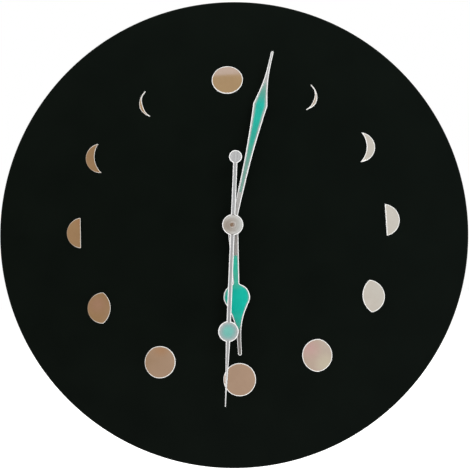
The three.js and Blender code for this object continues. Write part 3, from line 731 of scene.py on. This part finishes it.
MARKS = {
    12: lambda d: [(0.21 + (10.11 - d) * math.cos(2 * math.pi * i / 128), -0.13 + (9.15 - d) * math.sin(2 * math.pi * i / 128)) for i in range(128)],
    1: sickle([(6.5, 6.98, 0.22), (7.3, 5.82, 0.26), (7.98, 4.97, 0.29), (8.82, 3.26, 0.37), (9.24, 1.41, 0.53), (9.32, -0.5, 0.74), (9.04, -2.39, 0.96),
               (8.42, -4.18, 1.07), (7.48, -5.82, 0.98), (6.26, -7.12, 0.71), (4.8, -8.2, 0.42), (3.22, -9.08, 0.26), (2.72, -9.34, 0.21)]),
    2: moon((0.45, -0.44, 9.69), (-9.43, 0.57, 14.38), True),
    3: half_moon((-0.42, -0.07, 10.27), 1.22, 1),
    4: moon((-0.08, 0.32, 10.27), (9.19, 0.39, 12.84), False),
    5: moon((0.2, 0.38, 10.22), (1.86, 0.15, 10.09), False),
    6: full_moon(0.29, 0.17, 10.09),
    7: moon((-0.32, -0.09, 10.16), (-1.1, -0.11, 9.85), False),
    8: moon((-0.83, -0.31, 9.69), (-8.51, -0.17, 12.55), False),
    9: half_moon((-0.32, -0.28, 9.79), -1.2, -1),
    10: moon((-0.44, -0.4, 9.62), (10.25, 0.5, 14.65), True),
    11: sickle([(-5.62, 7.38, 0.24), (-6.4, 6.45, 0.29), (-7.29, 5.3, 0.32), (-8.12, 3.7, 0.41), (-8.6, 1.98, 0.57), (-8.77, 0.18, 0.81), (-8.63, -1.62, 1.02),
                (-8.2, -3.38, 1.11), (-7.48, -5.04, 1.0), (-6.47, -6.53, 0.74), (-5.18, -7.81, 0.48), (-3.6, -8.85, 0.3), (-3.12, -9.12, 0.22)]),
}
for hour, shape in MARKS.items():
    cx, cy = MARK_RING_R * math.sin(math.radians(30 * hour)), MARK_RING_R * math.cos(math.radians(30 * hour))
    moved = lambda d, s=shape, x=cx, y=cy: [(px + x, py + y) for px, py in s(d)]
    o = sheet_metal(f"moon_mark_{hour}", moved(0.0), 20.03, 21.1, [MIRROR, MIRROR_EDGE], soft=0.18, wide=0.42, steps=4, inset=moved, low_soft=0.02)
    put(o, "clock_body", "mirror_marks", f"marker_{hour}")

# ---------------------------------------------------------------------------------------------
# hands: each is symmetrical about its own line, so its outline is a half width at every distance
# ---------------------------------------------------------------------------------------------
HOUR_ANGLE, MINUTE_ANGLE, SECOND_ANGLE = 179.2, 15.14, 184.65
HOUR_Z, MINUTE_Z, SECOND_Z = 24.4, 26.9, 29.3


def monotone(pairs):
    """A smooth curve through (distance, half width) pairs that never overshoots them."""
    x, y = [p[0] for p in pairs], [p[1] for p in pairs]
    n = len(x)
    s = [(y[i + 1] - y[i]) / (x[i + 1] - x[i]) for i in range(n - 1)]
    m = [s[0]] + [0.0 if s[i - 1] * s[i] <= 0 else 2 * s[i - 1] * s[i] / (s[i - 1] + s[i]) for i in range(1, n - 1)] + [s[-1]]

    def f(v):
        if v <= x[0] or v >= x[-1]:
            return y[0] if v <= x[0] else y[-1]
        i = max(k for k in range(n - 1) if x[k] <= v)
        h = x[i + 1] - x[i]
        t = (v - x[i]) / h
        return (y[i] * (1 + 2 * t) * (1 - t) ** 2 + m[i] * h * t * (1 - t) ** 2 + y[i + 1] * t * t * (3 - 2 * t) + m[i + 1] * h * t * t * (t - 1))
    return f


def straight(pairs):
    def f(v):
        if v <= pairs[0][0]:
            return pairs[0][1]
        for (a, p), (b, q) in zip(pairs, pairs[1:]):
            if v <= b:
                return p + (q - p) * (v - a) / (b - a)
        return pairs[-1][1]
    return f


def hand_outline(f, start, end, tip_r, discs, extra=(), step=0.7, fillet=0.5):
    """Union of a blade of half width f from start to end with a round tip, and discs (centre, radius) on the line."""
    ys = set(extra)
    v = start
    while v < end:
        ys.add(round(v, 4))
        v += step
    for k in range(13):
        ys.add(round(end + tip_r * math.sin(math.pi / 2 * k / 12), 5))
    for c, r in discs:
        for k in range(49):
            ys.add(round(c - r * math.cos(math.pi * k / 48), 5))
    top = end + tip_r
    out = []
    for y in sorted(ys):
        if y > top + 1e-9:
            continue
        blade_w = -1.0
        if start <= y <= end:
            blade_w = f(y)
        elif y > end:
            blade_w = f(end) * math.sqrt(max(0.0, 1 - ((y - end) / tip_r) ** 2))
        w = blade_w
        for c, r in discs:
            if abs(y - c) <= r:
                d = math.sqrt(max(0.0, r * r - (y - c) ** 2))
                if w < 0:
                    w = d
                else:
                    lift = 0.5 * (w + d + math.sqrt((w - d) ** 2 + fillet * fillet)) - max(w, d)
                    w = max(w, d) + (lift if min(w, d) > 0.6 else 0.0)
        if w >= 0:
            out.append((y, w))
    right = [(w, y) for y, w in out]
    left = [(-w, y) for y, w in reversed(out) if w > 1e-6]
    loop = []
    for p in right + left:
        if not loop or math.hypot(p[0] - loop[-1][0], p[1] - loop[-1][1]) > 0.012:
            loop.append(p)
    if math.hypot(loop[0][0] - loop[-1][0], loop[0][1] - loop[-1][1]) < 0.012:
        loop.pop()
    return loop


def strip(f, start, end, step=0.6, grow=0.0):
    """Outline of the luminous area: half width f between two straight or pointed ends."""
    n = max(2, int((end - start) / step))
    ys = [start + (end - start) * i / n for i in range(n + 1)]
    right = [(f(y) + grow, y + (-grow if i == 0 else grow if i == n else 0)) for i, y in enumerate(ys)]
    return right + [(-x, y) for x, y in reversed(right)]


def paint(name, f, start, end, floor, edge, crown, mat, turn, step=0.6):
    """A crowned layer of paint that fills a pocket from its floor up to its edge and a little above."""
    n = max(2, int((end - start) / step))
    us = [-1, -0.93, -0.75, -0.4, 0, 0.4, 0.75, 0.93, 1]
    verts, faces, sides = [], [], []
    rows = []
    for i in range(n + 1):
        y = start + (end - start) * i / n
        w = f(y)
        ease = min(1.0, (y - start) / 0.8, (end - y) / 1.5)
        rise = crown * math.sqrt(max(0.0, ease)) * min(1.0, w / 1.2)
        row = []
        for u in us:
            row.append(len(verts))
            verts.append((w * u, y, edge + rise * (1 - u * u) ** 0.7))
            sides.append(abs(u))
        sides.extend([1.0, 1.0])
        base = [len(verts), len(verts) + 1]
        verts.extend([(-w, y, floor), (w, y, floor)])
        rows.append((row, base))
    for (a, ab), (b, bb) in zip(rows, rows[1:]):
        for k in range(len(us) - 1):
            faces.append([a[k], a[k + 1], b[k + 1], b[k]])
        faces.append([ab[0], a[0], b[0], bb[0]])
        faces.append([a[-1], ab[1], bb[1], b[-1]])
        faces.append([ab[1], ab[0], bb[0], bb[1]])
    a, ab = rows[0]
    faces.append([ab[0], ab[1]] + a[::-1])
    b, bb = rows[-1]
    faces.append([bb[1], bb[0]] + b)
    o = build(name, verts, faces, [mat], turn=turn, weighted=False)
    layer = o.data.attributes.new("across", "FLOAT", "POINT")
    layer.data.foreach_set("value", sides)
    return o


HOUR_BLADE = monotone([(2, 3.15), (7, 3.05), (10, 2.94), (15, 2.74), (20, 2.56), (25, 2.36), (30, 2.2), (34, 2.06), (36.1, 1.97), (36.8, 2.2), (37.4, 3.1), (38, 4.35), (39, 5.7),
                       (40, 6.55), (41, 7.2), (42, 7.66), (43, 7.96), (44, 8.15), (45, 8.22), (46, 8.17), (47, 7.92), (48, 7.58), (50, 6.52), (52, 5.55), (54, 4.65), (56, 3.85),
                       (58, 3.18), (60, 2.6), (62, 2.16), (64, 1.82), (66, 1.55), (69, 1.32), (73, 1.18), (77, 1.14), (79.75, 1.14)])
HOUR_LUME = monotone([(19, 1.75), (25, 1.62), (30, 1.5), (36.2, 1.28), (37.4, 1.9), (38.1, 3.0), (38.8, 4.1), (40.4, 6.05), (42, 6.97), (43.5, 7.38), (45, 7.53), (46.6, 7.33), (48.5, 6.6),
                      (51, 5.25), (54, 3.9), (57, 2.7), (60, 1.82), (63, 1.12), (65.4, 0.25)])
MINUTE_BLADE = straight([(3, 1.7), (12, 1.65), (19.3, 1.68), (24, 1.74), (30, 1.8), (36, 1.92), (42, 2.06), (48, 2.3), (54, 2.62), (60, 3.0), (66, 3.43), (72, 3.88), (79.3, 4.58), (84, 3.5),
                         (87, 2.85), (90, 2.3), (93, 1.8), (96, 1.42), (99, 1.12), (102, 0.95), (108, 0.8), (114.7, 0.8)])
MINUTE_LUME = straight([(21.3, 0.7), (30, 0.85), (36, 1.0), (48, 1.45), (60, 2.1), (72, 2.85), (79.1, 3.55), (84, 2.55), (87, 1.97), (90, 1.42), (94.4, 0.35)])
SECOND_BLADE = straight([(-43.2, 1.28), (0, 1.3), (65.8, 1.32), (74, 1.2), (80, 1.04), (86, 0.85), (92, 0.64), (98, 0.46), (104, 0.31), (110.6, 0.26)])
ROLL = 0.5  # width of the rolled edge of every hand, mm


def rolled(outer, f, start, end, discs, part, tip_part, tip_from):
    """The outline moved inwards, but never by more than this part of the local half width."""
    outer = ccw(outer)
    share = []
    for x, y in outer:
        v = min(max(y, start), end)
        room_ = (part + (tip_part - part) * min(1.0, max(0.0, (v - tip_from) / 10.0))) * f(v)
        for c, r in discs:
            if abs(math.hypot(x, y - c) - r) < 0.3:
                room_ = max(room_, 0.5 * r)
        share.append(min(1.0, room_ / ROLL))

    def inset(d):
        full = offset(outer, d)
        return [(x + (u - x) * k, y + (v - y) * k) for (x, y), (u, v), k in zip(outer, full, share)]
    return inset


HOUR_DISCS, MINUTE_DISCS, SECOND_DISCS = [(0, 5.9)], [(0, 6.2)], [(-43.2, 4.05), (0, 6.5), (65.8, 6.2)]
line = hand_outline(HOUR_BLADE, 2, 79.75, 1.14, HOUR_DISCS, step=0.4)
hour = sheet_metal("hour_hand_spade", line, HOUR_Z, HOUR_Z + 0.5, [HOUR_METAL_SHADED, HAND_EDGE_HIGHLIGHT], holes=[circle(0, 0, 2.68, 48)],
                   pockets=[(strip(HOUR_LUME, 19, 65.4, 0.4, 0.06), HOUR_Z + 0.26)], soft=0.14, wide=ROLL, steps=4, turn=HOUR_ANGLE,
                   inset=rolled(line, HOUR_BLADE, 2, 79.75, HOUR_DISCS, 0.26, 0.26, 70))
put(hour, "hour_hand_set", "hand_silver", "hour_hand")
hour_lume = paint("hour_hand_paint", HOUR_LUME, 19, 65.4, HOUR_Z + 0.27, HOUR_Z + 0.46, 0.12, LUME_HOUR, HOUR_ANGLE, 0.4)
put(hour_lume, "hour_hand_set", "lume", "hour_hand_lume")

line = hand_outline(MINUTE_BLADE, 3, 114.7, 0.8, MINUTE_DISCS, extra=(79.3,))
minute = sheet_metal("minute_hand_lance", line, MINUTE_Z, MINUTE_Z + 0.5, [MINUTE_METAL, HAND_EDGE_HIGHLIGHT], holes=[circle(0, 0, 1.83, 40)],
                     pockets=[(strip(MINUTE_LUME, 21.3, 94.4, 0.7, 0.06), MINUTE_Z + 0.26)], soft=0.14, wide=ROLL, steps=4, turn=MINUTE_ANGLE,
                     inset=rolled(line, MINUTE_BLADE, 3, 114.7, MINUTE_DISCS, 0.45, 0.5, 96))
put(minute, "minute_hand_set", "hand_silver", "minute_hand")
minute_lume = paint("minute_hand_paint", MINUTE_LUME, 21.3, 94.4, MINUTE_Z + 0.27, MINUTE_Z + 0.46, 0.1, LUME_MINUTE, MINUTE_ANGLE, 0.7)
put(minute_lume, "minute_hand_set", "lume", "minute_hand_lume")

line = hand_outline(SECOND_BLADE, -43.2, 110.6, 0.26, SECOND_DISCS, extra=(74, 86, 98))
second = sheet_metal("second_hand_blade", line, SECOND_Z, SECOND_Z + 0.4, [SECOND_METAL, HAND_EDGE_HIGHLIGHT], holes=[circle(0, 0, 1.03, 32)],
                     pockets=[(circle(0, 65.8, 5.5, 80), SECOND_Z + 0.2)], soft=0.12, wide=ROLL, steps=4, turn=SECOND_ANGLE,
                     inset=rolled(line, SECOND_BLADE, -43.2, 110.6, SECOND_DISCS, 0.36, 0.7, 84))
put(second, "second_hand_set", "hand_silver", "second_hand")


def dome(name, r, floor, edge, crown, cx, cy, mat, turn, segs=64):
    prof = [(0, floor), (r, floor), (r, edge)] + [(r * math.cos(math.pi / 2 * k / 8), edge + crown * math.sin(math.pi / 2 * k / 8)) for k in range(1, 8)] + [(0, edge + crown)]
    return lathe(name, prof, segs, [mat], centre=(cx, cy), turn=turn)


second_lume = dome("second_hand_paint", 5.45, SECOND_Z + 0.21, SECOND_Z + 0.36, 0.1, 0, 65.8, LUME_SECOND, SECOND_ANGLE)
put(second_lume, "second_hand_set", "lume_pale", "second_hand_lume")

boss_curve = [(5.95 - 4.15 * k / 12, 29.7 + 0.68 * (1 - ((5.95 - 4.15 * k / 12) / 5.95) ** 2)) for k in range(13)]
boss = lathe("second_hand_boss", [(1.8, 29.62), (5.95, 29.62)] + boss_curve, 72, [HUB_METAL], closed=True, turn=SECOND_ANGLE)
put(boss, "second_hand_set", "hand_silver")

cap_curve = [(2.1 * math.cos(math.pi / 2 * k / 9), 30.06 + 0.5 * math.sin(math.pi / 2 * k / 9)) for k in range(9)] + [(0, 30.56)]
tube = lathe("second_hand_rivet_tube", [(0, 29.65), (0.58, 29.65), (0.58, 28.4), (0.9, 28.4), (0.95, 28.45), (0.95, 29.72), (2.0, 29.72), (2.1, 29.78)] + cap_curve, 48, [RIVET], turn=SECOND_ANGLE)
put(tube, "second_hand_set", "brass", "second_hand_tube")

# ---------------------------------------------------------------------------------------------
# CAD pieces that keep their shape: softened edges and their own finish
# ---------------------------------------------------------------------------------------------
def dress(name, mat, soft=0.12, segments=2, angle=38):
    o = nodes[name]
    o.data.materials.clear()
    o.data.materials.append(mat.m)
    o.data.polygons.foreach_set("use_smooth", [True] * len(o.data.polygons))
    w = o.modifiers.new("weld", "WELD")
    w.merge_threshold = 1e-6
    if soft:
        b = o.modifiers.new("soft_edges", "BEVEL")
        b.width = soft * MM
        b.segments = segments
        b.limit_method = "ANGLE"
        b.angle_limit = math.radians(angle)
        b.harden_normals = False
        b.use_clamp_overlap = True
    else:
        s = o.modifiers.new("hard_edges", "EDGE_SPLIT")
        s.split_angle = math.radians(angle)
    n = o.modifiers.new("flat_faces", "WEIGHTED_NORMAL")
    n.keep_sharp = False
    n.weight = 80
    return o


dress("case_front", CASE, 0.25)
dress("battery_bay", CASE, 0.25)
dress("rear_cover", COVER, 0.3)
dress("rubber_gasket", RUBBER, 0.2)
dress("fixing_nut", BRASS, 0.2)
dress("fixing_washer", BRASS, 0.12)
dress("setting_knob", KNOB, 0.12)
dress("contact_positive", STEEL, 0.06)
dress("contact_negative", STEEL, 0.06)
dress("second_arbor", STEEL, 0.08)
dress("minute_arbor", BRASS, 0.06)
dress("hour_wheel", WHITE, 0.05)
for gear in ("second_wheel", "third_wheel", "centre_wheel", "intermediate_wheel", "rotor_pinion", "day_wheel", "train_plate", "coil_bobbin"):
    dress(gear, WHITE, 0.0)
dress("rotor_magnet", MAGNET, 0.15)
dress("stator", IRON, 0.08)
dress("coil_core", IRON, 0.08)
dress("coil_winding", COPPER, 0.15)
dress("circuit_board", BOARD, 0.06)
dress("ic_blob", RESIN, 0.0)
dress("quartz_crystal", STEEL, 0.2)

# ---------------------------------------------------------------------------------------------
# AA cell: sleeve with rolled ends, steel cap with its raised contact
# ---------------------------------------------------------------------------------------------
CELL_Y, CELL_Z = -19.2, 7.4
cell_profile = [(0, -26.0), (1.9, -26.0), (2.4, -25.85), (2.6, -25.5), (2.62, -24.75), (4.9, -24.7), (5.1, -24.62), (5.15, -24.8), (6.3, -24.8), (6.8, -24.68), (7.05, -24.35), (7.1, -24.0),
                (7.1, -23.4), (7.02, -23.2), (7.05, -22.9), (7.1, -22.6), (7.1, 22.6), (7.05, 23.0), (7.02, 23.2), (7.1, 23.5), (7.1, 23.9), (6.95, 24.25), (6.6, 24.4), (5.6, 24.4), (5.4, 24.15), (5.1, 24.1), (4.9, 24.3), (0, 24.3)]
cell_picks = [1] * 7 + [0] * 15 + [1] * 5
cell = lathe("aa_cell_body", cell_profile, 72, [CELL, CELL_END], cell_picks, centre=(CELL_Y, CELL_Z), axis="x")
put(cell, "battery", "cell_wrap", "aa_cell")

# ---------------------------------------------------------------------------------------------
# moulded marks on the rear cover: turning arrows round the knob, plus and minus at the bay
# ---------------------------------------------------------------------------------------------
SETTING = (13.96108, 10.14332)


def mark(name, loop, height=0.05):
    o = sheet_metal(name, [(x, y) for x, y in loop], -height, 0.02, [INK, INK], soft=0.012, steps=2)
    put(o, "clock_body", "white_plastic")
    return o


def arrow(name, a0, a1, r=7.9, w=0.42):
    n = 28
    s = math.copysign(1, a1 - a0)
    out, inn = [], []
    for i in range(n + 1):
        a = math.radians(a0 + (a1 - a0) * i / n)
        out.append((SETTING[0] + (r + w) * math.cos(a), SETTING[1] + (r + w) * math.sin(a)))
        inn.append((SETTING[0] + (r - w) * math.cos(a), SETTING[1] + (r - w) * math.sin(a)))
    a, tip = math.radians(a1), math.radians(a1 + s * 17)
    head = [(SETTING[0] + (r + 1.35) * math.cos(a), SETTING[1] + (r + 1.35) * math.sin(a)),
            (SETTING[0] + r * math.cos(tip), SETTING[1] + r * math.sin(tip)),
            (SETTING[0] + (r - 1.35) * math.cos(a), SETTING[1] + (r - 1.35) * math.sin(a))]
    return mark(name, out + head + inn[::-1])


arrow("turn_arrow_upper", 45, 120)
arrow("turn_arrow_lower", 225, 300)


def bar(cx, cy, w, h):
    return [(cx - w / 2, cy - h / 2), (cx + w / 2, cy - h / 2), (cx + w / 2, cy + h / 2), (cx - w / 2, cy + h / 2)]


PLUS = [(-0.4, -1.6), (0.4, -1.6), (0.4, -0.4), (1.6, -0.4), (1.6, 0.4), (0.4, 0.4), (0.4, 1.6), (-0.4, 1.6), (-0.4, 0.4), (-1.6, 0.4), (-1.6, -0.4), (-0.4, -0.4)]
mark("polarity_plus", [(x - 23.5, y - 8.3) for x, y in PLUS])
mark("polarity_minus", bar(23.5, -8.3, 3.2, 0.8))

# ---------------------------------------------------------------------------------------------
# stage: pale floor, soft lights, a room that only the gloss sees
# ---------------------------------------------------------------------------------------------
FLOOR_Z = -0.26
fl = bpy.data.meshes.new("floor")
fl.from_pydata([(-6, -6, FLOOR_Z), (6, -6, FLOOR_Z), (6, 6, FLOOR_Z), (-6, 6, FLOOR_Z)], [], [[0, 1, 2, 3]])
floor = bpy.data.objects.new("floor", fl)
scene.collection.objects.link(floor)
fm = Mat("floor_pale", (0.86, 0.86, 0.85), 0.7, Specular_IOR_Level=0.1)
fm.set("Emission Color", (1, 1, 1, 1))
fm.set("Emission Strength", 0.62)
out = fm.t.nodes["Material Output"]
geo = fm.node("ShaderNodeNewGeometry")
clear = fm.node("ShaderNodeBsdfTransparent")
pick = fm.node("ShaderNodeMixShader")
fm.link(geo.outputs["Backfacing"], pick.inputs[0])
fm.link(fm.b.outputs[0], pick.inputs[1])
fm.link(clear.outputs[0], pick.inputs[2])
fm.link(pick.outputs[0], out.inputs["Surface"])
fl.materials.append(fm.m)
floor.visible_glossy = False

world = bpy.data.worlds.new("studio")
scene.world = world
world.use_nodes = True
wt = world.node_tree
for n in list(wt.nodes):
    wt.nodes.remove(n)


def wnode(kind):
    return wt.nodes.new(kind)


coord = wnode("ShaderNodeTexCoord")
sep = wnode("ShaderNodeSeparateXYZ")
wt.links.new(coord.outputs["Generated"], sep.inputs[0])


def wrange(src, a, b):
    n = wnode("ShaderNodeMapRange")
    n.clamp = True
    n.inputs["From Min"].default_value = a
    n.inputs["From Max"].default_value = b
    wt.links.new(src, n.inputs["Value"])
    return n.outputs["Result"]


def wmix(fac, a, b):
    n = wnode("ShaderNodeMix")
    n.data_type = "RGBA"
    for s, v in ((n.inputs["Factor"], fac), (n.inputs[6], a), (n.inputs[7], b)):
        if isinstance(v, tuple):
            s.default_value = (*v, 1.0)
        elif isinstance(v, (int, float)):
            s.default_value = v
        else:
            wt.links.new(v, s)
    return n.outputs[2]


side = wnode("ShaderNodeValToRGB")
stops = [(0.0, (0.37, 0.228, 0.118)), (0.1, (0.332, 0.202, 0.106)), (0.25, (0.415, 0.283, 0.195)), (0.5, (0.455, 0.312, 0.225)), (0.7, (0.55, 0.445, 0.37)), (0.88, (0.645, 0.615, 0.56)), (1.0, (0.655, 0.635, 0.58))]
while len(side.color_ramp.elements) < len(stops):
    side.color_ramp.elements.new(0.5)
for el, (p, c) in zip(side.color_ramp.elements, stops):
    el.position, el.color = p, (*c, 1.0)


def wmath(op, a, b):
    n = wnode("ShaderNodeMath")
    n.operation = op
    for i, v in enumerate((a, b)):
        if isinstance(v, (int, float)):
            n.inputs[i].default_value = v
        else:
            wt.links.new(v, n.inputs[i])
    return n.outputs[0]


def wnoise(scale, detail, place):
    m = wnode("ShaderNodeMapping")
    m.inputs["Location"].default_value = place
    n = wnode("ShaderNodeTexNoise")
    n.inputs["Scale"].default_value = scale
    n.inputs["Detail"].default_value = detail
    wt.links.new(coord.outputs["Generated"], m.inputs["Vector"])
    wt.links.new(m.outputs["Vector"], n.inputs["Vector"])
    return n.outputs["Fac"]


dir_x, dir_y, dir_z = (sep.outputs[k] for k in "XYZ")
shifted = wmath("ADD", dir_x, wmath("MULTIPLY", wmath("SUBTRACT", wnoise(17, 2, (3, 1, 4)), 0.5), 0.1))
wt.links.new(wrange(shifted, -0.31, 0.32), side.inputs["Fac"])
warm = wmath("MULTIPLY", wrange(dir_z, 0.272, 0.32), wrange(dir_x, 0.1, 0.06))
lamp = wmix(warm, side.outputs["Color"], (0.445, 0.302, 0.166))
high = wmix(wrange(dir_z, 0.3705, 0.373), lamp, (0.575, 0.445, 0.37))


def patch(below, x, z, r, color):
    """A soft round patch of the room around one direction."""
    dx, dz = wmath("SUBTRACT", dir_x, x), wmath("SUBTRACT", dir_z, z)
    d = wmath("SQRT", wmath("ADD", wmath("MULTIPLY", dx, dx), wmath("MULTIPLY", dz, dz)), 0.0)
    return wmix(wrange(d, r, 0.25 * r), below, color)


high = patch(high, 0.116, -0.124, 0.027, (0.6, 0.4, 0.37))
high = patch(high, 0.148, -0.158, 0.025, (0.62, 0.56, 0.43))
high = patch(high, -0.152, -0.114, 0.02, (0.42, 0.245, 0.14))
high = patch(high, -0.275, 0.125, 0.022, (0.38, 0.2, 0.1))
high = patch(high, -0.262, -0.03, 0.024, (0.375, 0.218, 0.138))
high = patch(high, 0.22, 0.155, 0.036, (4.0, 3.9, 3.7))  # a small bright window, mirrored only by the curved hub
# beyond the part of the room that the flat marks mirror: bright walls, dim and warm only low at the far left
walls = wnode("ShaderNodeValToRGB")
stops = [(0.0, (0.25, 0.16, 0.1)), (0.25, (0.4, 0.29, 0.2)), (0.35, (0.8, 0.74, 0.68)), (0.45, (1.12, 1.09, 1.05)), (1.0, (1.2, 1.2, 1.17))]
while len(walls.color_ramp.elements) < len(stops):
    walls.color_ramp.elements.new(0.5)
for el, (p, c) in zip(walls.color_ramp.elements, stops):
    el.position, el.color = p, (*c, 1.0)
wt.links.new(wrange(wmath("ADD", dir_x, wmath("MULTIPLY", wmath("ABSOLUTE", dir_z, 0.0), 0.6)), -1.0, 1.0), walls.inputs["Fac"])
away = wmath("MAXIMUM", wrange(wmath("ABSOLUTE", dir_x, 0.0), 0.37, 0.52), wmath("MAXIMUM", wrange(dir_z, 0.44, 0.56), wrange(dir_z, -0.26, -0.4)))
front = wmix(away, high, walls.outputs["Color"])
room = wmix(wrange(dir_y, -0.1, 0.3), front, (0.62, 0.61, 0.6))
path = wnode("ShaderNodeLightPath")
glossy = wmix(path.outputs["Is Glossy Ray"], (0.5, 0.5, 0.5), room)
seen = wmix(path.outputs["Is Camera Ray"], glossy, (1.0, 1.0, 1.0))
bg = wnode("ShaderNodeBackground")
wt.links.new(seen, bg.inputs["Color"])
bg.inputs["Strength"].default_value = 1.0
wout = wnode("ShaderNodeOutputWorld")
wt.links.new(bg.outputs[0], wout.inputs["Surface"])


def softbox(name, pos, size, watts, color=(1, 1, 1)):
    d = bpy.data.lights.new(name, "AREA")
    d.shape = "RECTANGLE"
    d.size, d.size_y = size
    d.energy = watts
    d.color = color
    o = bpy.data.objects.new(name, d)
    o.location = pos
    o.rotation_euler = (-Vector(pos)).to_track_quat("-Z", "Y").to_euler()
    o.visible_camera = False
    o.visible_glossy = False
    scene.collection.objects.link(o)
    return o


softbox("key_upper_right", (0.7, -0.8, 0.85), (0.5, 0.5), 6.0)
softbox("fill_left", (-1.0, -0.7, 0.25), (0.7, 0.9), 2.0)
softbox("edge_left", (-1.2, -0.1, 0.0), (0.14, 0.9), 5.0)
softbox("back_upper", (0.5, 0.95, 0.75), (0.8, 0.6), 9.0)
softbox("back_left", (-0.9, 0.7, 0.1), (0.6, 0.8), 4.0)
